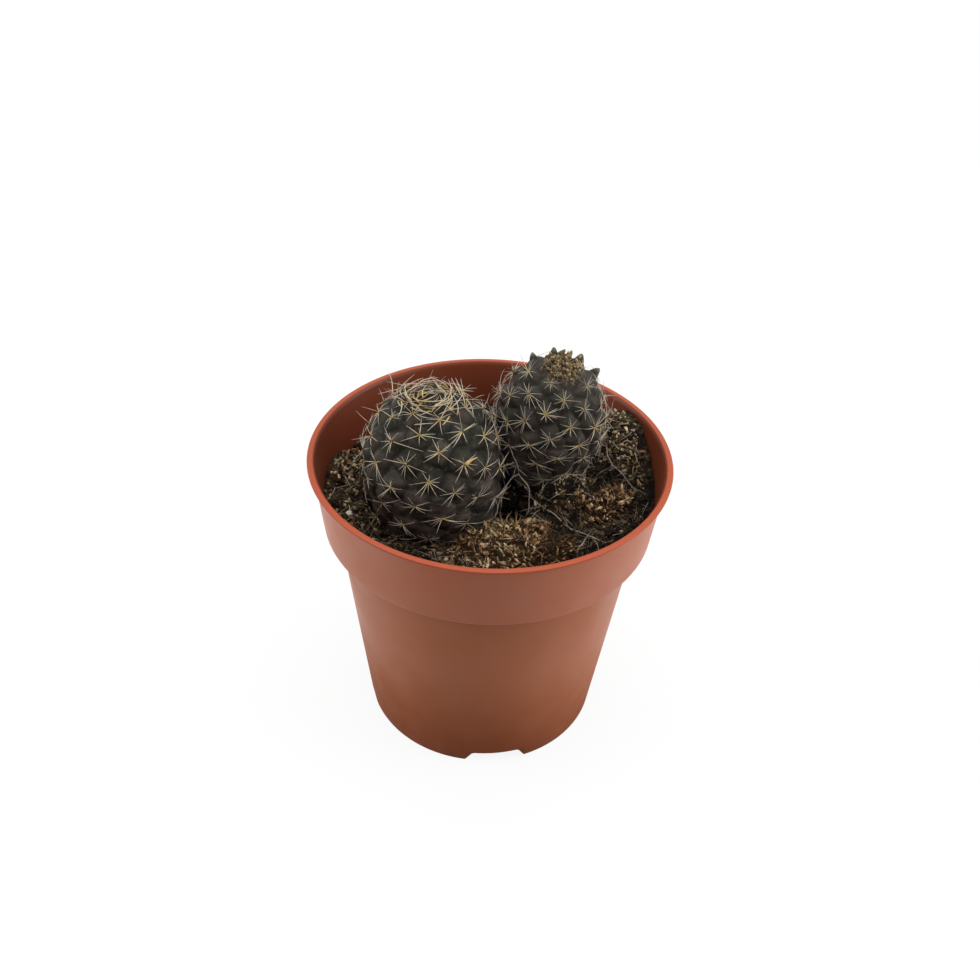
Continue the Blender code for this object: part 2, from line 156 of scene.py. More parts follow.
def apply_all(obj):
    only(obj)
    for modifier in list(obj.modifiers):
        bpy.ops.object.modifier_apply(modifier=modifier.name)


def settle(obj):
    """Puts a finished piece's place into its mesh."""
    only(obj)
    bpy.ops.object.transform_apply(location=True, rotation=True, scale=True)
    return obj


def added(primitive, scale=(1, 1, 1), **settings):
    """A new primitive at its size and place."""
    deselect_all()
    primitive(**settings)
    obj = bpy.context.object
    obj.scale = scale
    return settle(obj)


def face_outwards(obj):
    with editing(obj):
        bpy.ops.mesh.normals_make_consistent(inside=False)


def smoothed(obj):
    obj.data.polygons.foreach_set("use_smooth", [True] * len(obj.data.polygons))
    return obj


def roughened(obj, offset, seed):
    with editing(obj):
        bpy.ops.transform.vertex_random(offset=offset, seed=seed)
    return obj


def place(obj, slot, material, *nodes):
    """Gives a finished piece its finish, its body and the CAD nodes it stands for."""
    settle(obj)
    obj.data.materials.clear()
    obj.data.materials.append(material)
    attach(obj, "root")
    if nodes:
        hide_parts(*nodes)
    return obj


def new_object(name, data):
    obj = bpy.data.objects.new(name, data)
    bpy.context.scene.collection.objects.link(obj)
    return obj


@contextlib.contextmanager
def mesh_of(obj):
    """An object's mesh, open for changes to its points and faces."""
    mesh = bmesh.new()
    mesh.from_mesh(obj.data)
    yield mesh
    mesh.to_mesh(obj.data)
    mesh.free()


def mesh_object(name, points, faces, smooth=True):
    mesh = bpy.data.meshes.new(name)
    mesh.from_pydata([tuple(p) for p in points], [], [tuple(f) for f in faces])
    mesh.polygons.foreach_set("use_smooth", [smooth] * len(mesh.polygons))
    mesh.update()
    return new_object(name, mesh)


def paint(obj, attribute, values):
    """Stores one number per point, or the same for all, for the material to read."""
    layer = obj.data.attributes.new(attribute, "FLOAT", "POINT")
    layer.data.foreach_set("value", np.broadcast_to(values, len(obj.data.vertices)).astype(np.float32))


def smooth_step(low, high, value):
    t = np.clip((value - low) / (high - low), 0.0, 1.0)
    return t * t * (3 - 2 * t)


def clamp(value):
    return min(1.0, max(0.0, value))


def cell(point):
    """How far a point is from the nearest of some scattered points, about one unit apart."""
    return noise.voronoi(point)[0][0]


class Blank:
    """A small shape that is modelled once and then planted many times in one mesh."""

    def __init__(self, obj):
        mesh = obj.data
        self.points = np.array([v.co for v in mesh.vertices])
        self.faces = [tuple(p.vertices) for p in mesh.polygons]
        top = self.points[:, 2].max()
        self.along = self.points[:, 2] / top if top > 0 else self.points[:, 2]
        bpy.data.objects.remove(obj)


def plant(name, copies, smooth=True):
    """Joins copies of blanks into one object. A copy is (blank, matrix, tint)."""
    points, faces, along, tint = [], [], [], []
    start = 0
    for blank, matrix, shade in copies:
        turn = np.array(matrix)
        points.append(blank.points @ turn[:3, :3].T + turn[:3, 3])
        faces += [tuple(i + start for i in face) for face in blank.faces]
        along.append(blank.along)
        tint.append(np.full(len(blank.points), shade))
        start += len(blank.points)
    obj = mesh_object(name, np.concatenate(points), faces, smooth)
    paint(obj, "along", np.concatenate(along))
    paint(obj, "tint", np.concatenate(tint))
    return obj


def turned_to(direction, roll, size, at, towards=None):
    """Matrix that stands a blank's +Z along a direction. Its +X is rolled round, or faces a given way."""
    z = Vector(direction).normalized()
    if towards is None:
        turn = z.to_track_quat("Z", "Y").to_matrix() @ Matrix.Rotation(roll, 3, "Z")
    else:
        x = Vector(towards)
        x = (x - z * x.dot(z)).normalized()
        turn = Matrix((x, z.cross(x), z)).transposed()
    return Matrix.Translation(at) @ turn.to_4x4() @ Matrix.Diagonal((*size, 1))


# ---------------------------------------------------------------- materials
class Finish:
    """A material being made: short ways to add nodes and to join them."""

    def __init__(self, name):
        self.material = bpy.data.materials.new(name)
        self.material.use_nodes = True
        self.tree = self.material.node_tree
        self.shader = self.tree.nodes["Principled BSDF"]
        self.place = self.add("ShaderNodeTexCoord").outputs["Object"]

    def add(self, kind, **settings):
        node = self.tree.nodes.new(kind)
        for key, value in settings.items():
            setattr(node, key, value)
        return node

    def join(self, source, target):
        self.tree.links.new(source, target)

    def feed(self, socket, value):
        """Joins a socket to a socket, or sets it to a number or a colour."""
        if isinstance(value, bpy.types.NodeSocket):
            self.join(value, socket)
        else:
            socket.default_value = (*value, 1) if isinstance(value, tuple) else value

    def noise(self, scale, detail=3.0, roughness=0.6, stretch=None):
        node = self.add("ShaderNodeTexNoise")
        for key, value in zip(("Scale", "Detail", "Roughness"), (scale, detail, roughness)):
            node.inputs[key].default_value = value
        source = self.place
        if stretch:
            mapping = self.add("ShaderNodeMapping")
            mapping.inputs["Scale"].default_value = stretch
            self.join(self.place, mapping.inputs["Vector"])
            source = mapping.outputs["Vector"]
        self.join(source, node.inputs["Vector"])
        return node.outputs["Fac"]

    def cells(self, scale):
        node = self.add("ShaderNodeTexVoronoi")
        node.inputs["Scale"].default_value = scale
        self.join(self.place, node.inputs["Vector"])
        return node.outputs["Distance"]

    def attribute(self, name):
        return self.add("ShaderNodeAttribute", attribute_name=name).outputs["Fac"]

    def ramp(self, source, *stops):
        """stops are (position, colour)."""
        node = self.add("ShaderNodeValToRGB")
        elements = node.color_ramp.elements
        while len(elements) < len(stops):
            elements.new(0.5)
        for element, (position, colour) in zip(elements, stops):
            element.position = position
            element.color = (*colour, 1)
        self.join(source, node.inputs["Fac"])
        return node.outputs["Color"]

    def mix(self, factor, one, other):
        node = self.add("ShaderNodeMix", data_type="RGBA")
        for number, value in ((0, factor), (6, one), (7, other)):
            self.feed(node.inputs[number], value)
        return node.outputs[2]

    def scaled(self, source, low, high, new_low, new_high):
        node = self.add("ShaderNodeMapRange")
        for key, value in zip(("From Min", "From Max", "To Min", "To Max"), (low, high, new_low, new_high)):
            node.inputs[key].default_value = value
        self.join(source, node.inputs["Value"])
        return node.outputs["Result"]

    def over(self, base, colour, mask, low, high, start, end):
        """Lays a colour over the base, from start to end as the mask goes from low to high."""
        return self.mix(self.scaled(mask, low, high, start, end), base, colour)

    def times(self, one, other):
        node = self.add("ShaderNodeMath", operation="MULTIPLY")
        self.join(one, node.inputs[0])
        self.join(other, node.inputs[1])
        return node.outputs[0]

    def height(self):
        split = self.add("ShaderNodeSeparateXYZ")
        self.join(self.place, split.inputs[0])
        return split.outputs["Z"]

    def bump(self, source, depth, strength=1.0):
        node = self.add("ShaderNodeBump")
        node.inputs["Strength"].default_value = strength
        node.inputs["Distance"].default_value = depth
        self.join(source, node.inputs["Height"])
        previous = self.shader.inputs["Normal"]
        if previous.is_linked:
            self.join(previous.links[0].from_socket, node.inputs["Normal"])
        self.join(node.outputs["Normal"], previous)

    def done(self, base, roughness, specular=0.5):
        """Sets the colour, the roughness and the gloss, and gives the material back."""
        self.feed(self.shader.inputs["Base Color"], base)
        self.feed(self.shader.inputs["Roughness"], roughness)
        self.shader.inputs["Specular IOR Level"].default_value = specular
        return self.material


def pot_plastic():
    """Terracotta-coloured polypropylene: satin, faintly streaked, more orange on the lip, with painted light on the
    collar, painted shade towards the foot and painted shade over the inside.
    """
    f = Finish("terracotta polypropylene")
    streak = f.noise(60, 3, stretch=(1, 1, 0.06))
    wall = f.ramp(f.noise(35, 4), (0.3, (0.450, 0.133, 0.051)), (0.7, (0.490, 0.150, 0.060)))
    wall = f.over(wall, (0.50, 0.160, 0.070), streak, 0.45, 0.75, 0, 0.30)
    # Painted light: the collar is painted lighter than the wall below it.
    collar_painted_light = f.scaled(f.height(), COLLAR_FOOT - 0.1 * MM, COLLAR_FOOT + 0.4 * MM, 0, 0.9)
    wall = f.mix(collar_painted_light, wall, (0.58, 0.158, 0.063))
    # Painted shade: the wall is painted darker towards the foot.
    foot = f.scaled(f.height(), 2 * MM, 34 * MM, 0.85, 0)
    wall = f.mix(foot, wall, (0.24, 0.062, 0.022))
    lip = f.scaled(f.height(), COLLAR_TOP, COLLAR_TOP + 0.3 * MM, 0, 1)
    base = f.mix(lip, wall, (0.380, 0.070, 0.025))
    # Painted shade: the whole inner face is a darker copy of the plastic.
    base = f.mix(f.attribute("inside"), base, (0.175, 0.040, 0.017))
    specks = f.ramp(f.cells(210), (0.0, (1, 1, 1)), (0.045, (0, 0, 0)))
    few = f.scaled(f.noise(70, 2), 0.62, 0.66, 0, 0.75)
    base = f.mix(f.times(specks, few), base, (0.10, 0.035, 0.02))
    uneven = f.scaled(f.noise(90, 4), 0.3, 0.7, 0.85, 1.15)
    f.bump(f.noise(900, 2), 0.02 * MM, 0.5)
    f.bump(streak, 0.05 * MM, 0.4)
    return f.done(base, f.times(uneven, f.scaled(f.height(), 2 * MM, 36 * MM, 0.80, 0.40)), 0.22)


def cactus_skin(name, greyness):
    """Dull grey-green skin: purple-brown lower down, wrinkled and corky near the ground, with painted shade in the
    furrows, in the wrinkle lines and under the tubercles, and painted highlight on the wrinkle ridges.
    """
    f = Finish(name)
    rise = f.attribute("rise")
    mottle = f.noise(380, 5)
    stops = (0.3, 0.52, 0.72)
    green = f.ramp(mottle, *zip(stops, ((0.014, 0.015, 0.010), (0.029, 0.028, 0.019), (0.066, 0.059, 0.044))))
    dusk = f.ramp(mottle, *zip(stops, ((0.020, 0.0155, 0.0125), (0.048, 0.037, 0.031), (0.105, 0.084, 0.071))))
    low = f.attribute("low")
    lower = f.scaled(low, 0.05, 0.45, 0, 1)
    base = f.mix(lower, green, dusk)
    base = f.over(base, f.mix(0.5, dusk, (0.125, 0.096, 0.083)), low, 0.40, 0.85, 0, 0.8)
    base = f.over(base, (0.076, 0.058, 0.049), f.noise(150, 3), 0.46, 0.60, 0, 0.6)
    base = f.over(base, (0.012, 0.016, 0.009), f.noise(190, 3, stretch=(1, 1, 1.4)), 0.48, 0.60, 0, 0.7)
    # Painted shade: nearly black in the furrows between the tubercles, where rise is low.
    base = f.over(base, (0.010, 0.008, 0.006), rise, 0.0, 0.40, 0.80, 0)
    wrinkle = f.noise(300, 5, stretch=(0.5, 0.5, 2.2))
    # Painted shade in the wrinkle lines and painted highlight on their ridges, on the lower part of the stem.
    base = f.mix(f.times(lower, f.scaled(wrinkle, 0.40, 0.50, 0.7, 0)), base, (0.008, 0.006, 0.005))
    base = f.mix(f.times(lower, f.scaled(wrinkle, 0.54, 0.66, 0, 0.5)), base, (0.15, 0.125, 0.105))
    # Painted shade under each tubercle, below its areole, on the lower part of the stem.
    under = f.times(f.attribute("under"), f.scaled(f.noise(160, 3, stretch=(0.5, 0.5, 2)), 0.40, 0.65, 1, 0.45))
    base = f.mix(under, base, (0.006, 0.005, 0.004))
    worn = f.scaled(f.height(), 58 * MM, 68 * MM, 1, 0)
    cork = f.times(worn, f.scaled(f.noise(260, 4), 0.40, 0.62, 0, 1))
    base = f.mix(cork, base, (0.070, 0.052, 0.038))
    dust = f.scaled(f.noise(1100, 5), 0.56, 0.72, 0, 0.45)
    base = f.mix(greyness, f.mix(dust, base, (0.12, 0.108, 0.088)), (0.100, 0.080, 0.070))
    f.bump(f.noise(1500, 4), 0.10 * MM, 0.8)
    f.bump(f.times(wrinkle, f.scaled(low, 0, 0.4, 0.25, 1.0)), 0.6 * MM, 0.8)
    return f.done(base, f.scaled(mottle, 0.3, 0.7, 0.50, 0.72), 0.10)


def spine_straw():
    """Pale straw spines with yellow-brown feet; the older ones are grey, and a tint of -1 is golden."""
    f = Finish("cactus spines")
    along = f.attribute("along")
    young = (0.50, 0.29, 0.07), (0.58, 0.44, 0.20), (0.66, 0.58, 0.44), (0.64, 0.55, 0.48)
    young = f.ramp(along, *zip((0.0, 0.20, 0.5, 1.0), young))
    old = f.ramp(along, (0.0, (0.30, 0.22, 0.13)), (0.25, (0.38, 0.33, 0.28)), (1.0, (0.48, 0.435, 0.415)))
    tint = f.attribute("tint")
    base = f.over(young, old, tint, 0, 1, 0, 1)
    return f.done(f.over(base, (0.64, 0.46, 0.17), tint, -0.6, -0.4, 1, 0), 0.5, 0.25)


def crown_wool():
    f = Finish("crown wool")
    base = f.ramp(
        f.attribute("tint"), (0.0, (0.10, 0.062, 0.028)), (0.5, (0.26, 0.18, 0.085)), (1.0, (0.50, 0.39, 0.23))
    )
    return f.done(f.over(base, (0.09, 0.06, 0.03), f.noise(900, 3), 0.4, 0.7, 0, 0.5), 0.9, 0.1)


def bud_finish():
    """Young tubercles: the inner ones brown and woolly, the outer ones dark green with a pale point, all with painted
    shade at their feet.
    """
    f = Finish("crown tubercles")
    tint = f.attribute("tint")
    skin = f.ramp(f.noise(700, 4), (0.3, (0.026, 0.027, 0.020)), (0.7, (0.062, 0.058, 0.042)))
    brown = f.ramp(f.noise(900, 4), (0.3, (0.070, 0.052, 0.031)), (0.7, (0.21, 0.155, 0.088)))
    base = f.over(skin, brown, tint, 0.18, 0.28, 0, 1)
    wool = f.ramp(tint, (0.0, (0.14, 0.115, 0.075)), (0.25, (0.20, 0.14, 0.07)), (1.0, (0.52, 0.38, 0.20)))
    base = f.mix(f.ramp(f.attribute("along"), (0.62, (0, 0, 0)), (0.92, (1, 1, 1))), base, wool)
    # Painted shade: the foot of each young tubercle is darkened towards black.
    base = f.over(base, (0.010, 0.008, 0.006), f.attribute("along"), 0.0, 0.35, 0.8, 0.0)
    f.bump(f.noise(2200, 3), 0.12 * MM, 0.8)
    return f.done(base, 0.8, 0.15)


def peat():
    """The mix itself: nearly black, with brown and tan fragments, and painted shade in the pit between the stems and
    in the gaps between lumps.
    """
    f = Finish("peat mix")
    grain = f.noise(1100, 6, 0.75)
    dark = f.ramp(grain, (0.38, (0.005, 0.004, 0.003)), (0.55, (0.022, 0.015, 0.010)), (0.68, (0.13, 0.09, 0.05)))
    brown = f.ramp(grain, (0.36, (0.008, 0.006, 0.004)), (0.52, (0.066, 0.044, 0.023)), (0.66, (0.28, 0.19, 0.10)))
    base = f.over(dark, brown, f.noise(120, 3), 0.42, 0.60, 0, 1)
    # Painted shade: nearly black in the pit and in the gaps between lumps.
    base = f.mix(f.attribute("painted_hollow_shade"), base, (0.005, 0.004, 0.004))
    f.bump(grain, 0.6 * MM, 1.0)
    return f.done(base, 0.95, 0.12)


def crumbs_finish():
    """Crumbs from nearly black to pale tan; olive in places, rusty in others."""
    f = Finish("peat crumbs")
    tint = f.attribute("tint")
    stops = (0.0, 0.42, 0.66, 0.86, 1.0)
    dark, pale = ((0.008, 0.006, 0.005), (0.036, 0.022, 0.013)), ((0.33, 0.20, 0.095), (0.60, 0.45, 0.27))
    rusty = f.ramp(tint, *zip(stops, (*dark, (0.125, 0.070, 0.034), *pale)))
    dark, pale = ((0.008, 0.007, 0.005), (0.036, 0.028, 0.016)), ((0.29, 0.23, 0.115), (0.58, 0.48, 0.30))
    olive = f.ramp(tint, *zip(stops, (*dark, (0.115, 0.090, 0.044), *pale)))
    base = f.over(rusty, olive, f.noise(75, 2), 0.42, 0.58, 0, 1)
    base = f.over(base, (0.012, 0.008, 0.006), f.noise(1500, 4), 0.35, 0.7, 0.0, 0.75)
    f.bump(f.noise(2200, 4), 0.15 * MM, 0.8)
    return f.done(base, 0.92, 0.12)


def dry_fibre():
    f = Finish("dry fibres")
    shade = f.ramp(
        f.attribute("tint"), (0.0, (0.040, 0.026, 0.017)), (0.5, (0.17, 0.12, 0.075)), (1.0, (0.50, 0.45, 0.39))
    )
    return f.done(f.over(shade, (0.10, 0.07, 0.045), f.noise(700, 3), 0.35, 0.7, 0, 0.6), 0.8, 0.2)


def moss_finish():
    """Dead moss: rust and straw shreds over a heart painted nearly black as shade, with a little olive left in it,
    and painted shade at the feet of the shreds.
    """
    f = Finish("dry moss")
    tint = f.attribute("tint")
    rust = (0.019, 0.012, 0.007), (0.098, 0.050, 0.023), (0.29, 0.152, 0.064), (0.50, 0.32, 0.155), (0.70, 0.54, 0.34)
    rust = f.ramp(tint, *zip((0.0, 0.35, 0.60, 0.82, 1.0), rust))
    olive = (0.018, 0.014, 0.007), (0.085, 0.067, 0.025), (0.25, 0.19, 0.070), (0.56, 0.47, 0.26)
    olive = f.ramp(tint, *zip((0.0, 0.4, 0.75, 1.0), olive))
    base = f.over(rust, olive, f.noise(110, 2), 0.53, 0.63, 0, 0.6)
    # Painted shade: darker towards the foot of each shred, strand and crumb.
    base = f.over(base, (0.030, 0.018, 0.009), f.attribute("along"), 0.0, 0.6, 0.6, 0.0)
    f.bump(f.noise(1800, 4), 0.12 * MM, 0.7)
    return f.done(base, 0.9, 0.12)


def perlite_finish():
    f = Finish("perlite")
    base = f.ramp(f.noise(2500, 4), (0.35, (0.45, 0.42, 0.36)), (0.6, (0.74, 0.72, 0.66)))
    f.bump(f.cells(2600), 0.1 * MM, 0.8)
    return f.done(base, 0.85)


# ---------------------------------------------------------------- camera, light and floor
def seen_by(tree, *rays):
    """1 for these kinds of ray and 0 for the others."""
    path = tree.nodes.new("ShaderNodeLightPath")
    seen = path.outputs[rays[0]]
    for ray in rays[1:]:
        either = tree.nodes.new("ShaderNodeMath")
        either.operation = "MAXIMUM"
        tree.links.new(seen, either.inputs[0])
        tree.links.new(path.outputs[ray], either.inputs[1])
        seen = either.outputs[0]
    return seen


def hang(name, data, at, aim, roll=0.0):
    """Puts a camera or a lamp in its place, looking at a point."""
    holder = new_object(name, data)
    holder.rotation_mode = "QUATERNION"
    holder.location = at
    turn = (Vector(aim) - Vector(at)).to_track_quat("-Z", "Y")
    holder.rotation_quaternion = turn @ Matrix.Rotation(roll, 3, "Z").to_quaternion()
    return holder


def make_stage():
    scene = bpy.context.scene
    scene.view_settings.view_transform = "Standard"

    camera = bpy.data.cameras.new("camera")
    camera.lens = LENS
    camera.sensor_width = 36.0
    camera.clip_start = 0.01
    scene.camera = hang("camera", camera, CAMERA_AT, CAMERA_AIM, CAMERA_ROLL)

    for name, at, width, height, power in SOFTBOXES:
        light = bpy.data.lights.new(name, "AREA")
        light.shape = "RECTANGLE"
        light.size, light.size_y = width, height
        light.energy = power
        hang(name, light, at, (0, 0, 0.05))

    world = bpy.data.worlds.new("studio")
    world.use_nodes = True
    scene.world = world
    tree = world.node_tree
    background = tree.nodes["Background"]
    background.inputs["Color"].default_value = (1, 1, 1, 1)
    level = tree.nodes.new("ShaderNodeMapRange")
    level.inputs["To Min"].default_value = SKY_ON_OBJECT
    level.inputs["To Max"].default_value = 1.0
    seen = seen_by(tree, "Is Camera Ray", "Is Glossy Ray", "Is Transmission Ray")
    tree.links.new(seen, level.inputs["Value"])
    tree.links.new(level.outputs["Result"], background.inputs["Strength"])

    floor = added(bpy.ops.mesh.primitive_plane_add, size=8.0)
    floor.name = "floor"
    floor.data.materials.append(floor_finish())


def floor_finish():
    """A pale floor that shows the object's shadow. Part of its white is its own, for the camera only."""
    f = Finish("studio floor")
    level = f.add("ShaderNodeMath", operation="MULTIPLY")
    level.inputs[1].default_value = FLOOR_GLOW
    f.join(seen_by(f.tree, "Is Camera Ray", "Is Glossy Ray"), level.inputs[0])
    f.join(level.outputs[0], f.shader.inputs["Emission Strength"])
    f.feed(f.shader.inputs["Emission Color"], (1, 1, 1))
    return f.done((FLOOR_GREY,) * 3, 1.0, 0.0)


# ---------------------------------------------------------------- pot
def body_radius(height):
    return BODY_FOOT_RADIUS + (BODY_TOP_RADIUS - BODY_FOOT_RADIUS) * height / COLLAR_FOOT


def inner_radius(height):
    if height < LEDGE:
        return body_radius(height) - WALL
    part = (height - COLLAR_FOOT) / (COLLAR_TOP - COLLAR_FOOT)
    return COLLAR_FOOT_RADIUS + (COLLAR_TOP_RADIUS - COLLAR_FOOT_RADIUS) * part - WALL


def turned(name, profile, segments):
    """A closed turned shape: a disc, extruded and resized from one ring of the profile to the next."""
    radius, height = profile[0]
    disc = {"vertices": segments, "radius": radius, "fill_type": "NGON", "location": (0, 0, height)}
    obj = added(bpy.ops.mesh.primitive_circle_add, **disc)
    obj.name = name
    with editing(obj):
        for next_radius, next_height in profile[1:]:
            rise = (0, 0, next_height - height)
            bpy.ops.mesh.extrude_region_move(TRANSFORM_OT_translate={"value": rise})
            factor = next_radius / radius
            bpy.ops.transform.resize(value=(factor, factor, 1), center_override=(0, 0, next_height))
            radius, height = next_radius, next_height
    face_outwards(obj)
    return obj


def cut_away(obj, cutter):
    modifier = obj.modifiers.new("cut", "BOOLEAN")
    modifier.object = cutter
    modifier.operation = "DIFFERENCE"
    modifier.solver = "EXACT"
    apply_all(obj)
    bpy.data.objects.remove(cutter)


def make_pot():
    """A shell turned up the outside and down the inside, then cut for the drain holes and the notches."""
    foot = BODY_FOOT_RADIUS
    ring = foot - FOOT_RING_WIDTH
    brim = RIM_RADIUS - LIP_WIDTH
    profile = [
        (ring - 0.6 * MM, FOOT_RING_HEIGHT),
        (ring, FOOT_RING_HEIGHT - 0.5 * MM),
        (ring + 0.1 * MM, 0.15 * MM),
        (ring + 0.3 * MM, 0),
        (foot - 0.45 * MM, 0),
        (foot - 0.12 * MM, 0.14 * MM),
        *((body_radius(mm * MM), mm * MM) for mm in (0.6, 4, 5, 8, 20, 40)),
        (body_radius(COLLAR_FOOT - 0.5 * MM), COLLAR_FOOT - 0.5 * MM),
        (BODY_TOP_RADIUS + 0.3 * MM, COLLAR_FOOT - 0.1 * MM),
        (COLLAR_FOOT_RADIUS - 1.2 * MM, COLLAR_FOOT),
        (COLLAR_FOOT_RADIUS - 0.3 * MM, COLLAR_FOOT + 0.25 * MM),
        (COLLAR_FOOT_RADIUS, COLLAR_FOOT + 0.9 * MM),
        (COLLAR_TOP_RADIUS - 0.05 * MM, COLLAR_TOP - 0.5 * MM),
        (COLLAR_TOP_RADIUS + 0.15 * MM, COLLAR_TOP - 0.08 * MM),
        (RIM_RADIUS - 0.3 * MM, COLLAR_TOP),
        (RIM_RADIUS - 0.04 * MM, COLLAR_TOP + 0.14 * MM),
        (RIM_RADIUS, POT_HEIGHT - 0.36 * MM),
        (RIM_RADIUS - 0.12 * MM, POT_HEIGHT - 0.12 * MM),
        (RIM_RADIUS - 0.5 * MM, POT_HEIGHT),
        (brim + 0.25 * MM, POT_HEIGHT - 0.02 * MM),
        (brim, POT_HEIGHT - 0.22 * MM),
        (inner_radius(POT_HEIGHT - 1.0 * MM), POT_HEIGHT - 1.0 * MM),
        (inner_radius(LEDGE + 0.5 * MM), LEDGE + 0.5 * MM),
        (inner_radius(LEDGE) - 0.5 * MM, LEDGE),
        (body_radius(COLLAR_FOOT) - WALL, LEDGE - 0.2 * MM),
        (inner_radius(30 * MM), 30 * MM),
        (inner_radius(FLOOR_TOP + 0.8 * MM), FLOOR_TOP + 0.8 * MM),
        (inner_radius(FLOOR_TOP) - 0.8 * MM, FLOOR_TOP),
    ]
    pot = turned("pot_shell", profile, 180)
    for x, y, radius in DRAIN_HOLES:
        drill = {"vertices": 32, "radius": radius, "depth": 4 * MM, "location": (x, y, FLOOR_TOP - 0.5 * MM)}
        cut_away(pot, added(bpy.ops.mesh.primitive_cylinder_add, **drill))
    for k in range(4):
        cut_away(pot, notch_cutter(-math.pi / 2 + NOTCH_TURN + k * TAU / 4))
    bevel = pot.modifiers.new("soft edges", "BEVEL")
    bevel.width = 0.12 * MM
    bevel.segments = 2
    bevel.limit_method = "ANGLE"
    bevel.angle_limit = math.radians(50)
    apply_all(pot)
    only(pot)
    bpy.ops.object.shade_smooth_by_angle(angle=math.radians(32))
    paint(pot, "inside", [is_inside(v.co) for v in pot.data.vertices])
    place(pot, "pot_plastic", pot_plastic(), "pot")


def is_inside(point):
    """1 for a point on the pot's inner face, up to the lip."""
    edge = inner_radius(point.z)
    if point.z > POT_HEIGHT - 1.1 * MM:
        edge = max(edge, RIM_RADIUS - LIP_WIDTH)
    return float(FLOOR_TOP - 0.1 * MM < point.z < POT_HEIGHT - 0.15 * MM and point.xy.length < edge + 0.2 * MM)


def notch_cutter(angle):
    """A block across the foot ring, narrower at the top, so that the notch's ends slope."""
    middle = (BODY_FOOT_RADIUS, 0, 0)
    block = added(bpy.ops.mesh.primitive_cube_add, scale=NOTCH_SIZE, size=1, location=middle)
    with editing(block, "DESELECT"):
        bpy.ops.object.mode_set(mode="OBJECT")
        for vert in block.data.vertices:
            vert.select = vert.co.z > 0
        bpy.ops.object.mode_set(mode="EDIT")
        bpy.ops.transform.resize(value=(1, NOTCH_TAPER, 1), center_override=middle)
        bpy.ops.mesh.select_all(action="SELECT")
        bpy.ops.mesh.bevel(offset=NOTCH_ROUNDING, segments=3, affect="EDGES")
    block.data.transform(Matrix.Rotation(angle, 4, "Z"))
    return block


# ---------------------------------------------------------------- stems
class Stem:
    """A globular stem: fuller than an ellipsoid, with areoles on golden-angle spirals."""

    power = 2.3
    foot_power = 3.0
    neck = math.radians(132)
    last_areole = math.radians(126)
    root_radius = 3.4 * MM
    root_depth = 36 * MM

    def __init__(self, centre, radius, half_height, lean, first_angle, areole_area, crowding, turn, tubercle):
        self.centre = np.array(centre)
        self.radius, self.half_height = radius, half_height
        self.first_angle, self.turn = first_angle, turn
        self.areole_area, self.crowding = areole_area, crowding
        self.tubercle = tubercle
        self.axis = np.array((math.sin(lean[0]), -math.sin(lean[1]), 1.0))
        self.axis /= np.linalg.norm(self.axis)
        self.e1 = np.cross((0, 1, 0), self.axis)
        self.e1 /= np.linalg.norm(self.e1)
        self.e2 = np.cross(self.axis, self.e1)

    def profile(self, polar):
        polar = np.asarray(polar, float)
        above = np.minimum(polar, self.neck)
        k = 2 / np.where(above > math.pi / 2, self.foot_power, self.power)
        radius = self.radius * np.maximum(np.sin(above), 0) ** k
        height = self.half_height * np.sign(np.cos(above)) * np.abs(np.cos(above)) ** k
        down = np.clip((polar - self.neck) / (math.pi - self.neck), 0, 1)
        below = (self.root_radius + (radius - self.root_radius) * (1 - down) ** 2) * np.sqrt(1 - down**6)
        radius = np.where(down > 0, below, radius)
        return radius, height + (-self.root_depth - height) * down

    def frame_at(self, polar, turn):
        """Outward normal, and the directions along the skin: towards the crown, and round."""
        r0, h0 = self.profile(np.maximum(polar - 0.01, 0))
        r1, h1 = self.profile(np.minimum(polar + 0.01, math.pi))
        across, along = h0 - h1, r1 - r0
        length = np.hypot(across, along)
        across, along = across / length, along / length
        out = np.cos(turn)[..., None] * self.e1 + np.sin(turn)[..., None] * self.e2
        normal = out * across[..., None] + self.axis * along[..., None]
        crownward = -out * along[..., None] + self.axis * across[..., None]
        return normal, crownward, np.cross(normal, crownward)

    def point(self, polar, turn, out=0.0, lift=0.0):
        polar, turn = np.asarray(polar, float), np.asarray(turn, float)
        radius, height = self.profile(polar)
        normal, crownward, _ = self.frame_at(polar, turn)
        round_axis = np.cos(turn)[..., None] * self.e1 + np.sin(turn)[..., None] * self.e2
        base = self.centre + round_axis * radius[..., None] + self.axis * height[..., None]
        return base + normal * np.asarray(out)[..., None] + crownward * np.asarray(lift)[..., None]

    def normal_at(self, polar, turn):
        return Vector(self.frame_at(np.array(polar), np.array(turn))[0])

    def areoles(self):
        """Polar angle and turn of each areole, from the crown down."""
        polar = np.linspace(0, self.last_areole, 800)
        radius, height = self.profile(polar)
        strips = math.pi * (radius[1:] + radius[:-1]) * np.hypot(np.diff(radius), np.diff(height))
        area = np.concatenate(([0.0], np.cumsum(strips)))
        rank = np.arange(0, 400) + 0.5
        wanted = self.areole_area * (rank - self.crowding * (1 - np.exp(-rank / self.crowding)))
        rank = rank[wanted < area[-1]]
        wanted = wanted[wanted < area[-1]]
        return np.interp(wanted, area, polar), self.first_angle + self.turn * GOLDEN_ANGLE * (rank - 0.5)


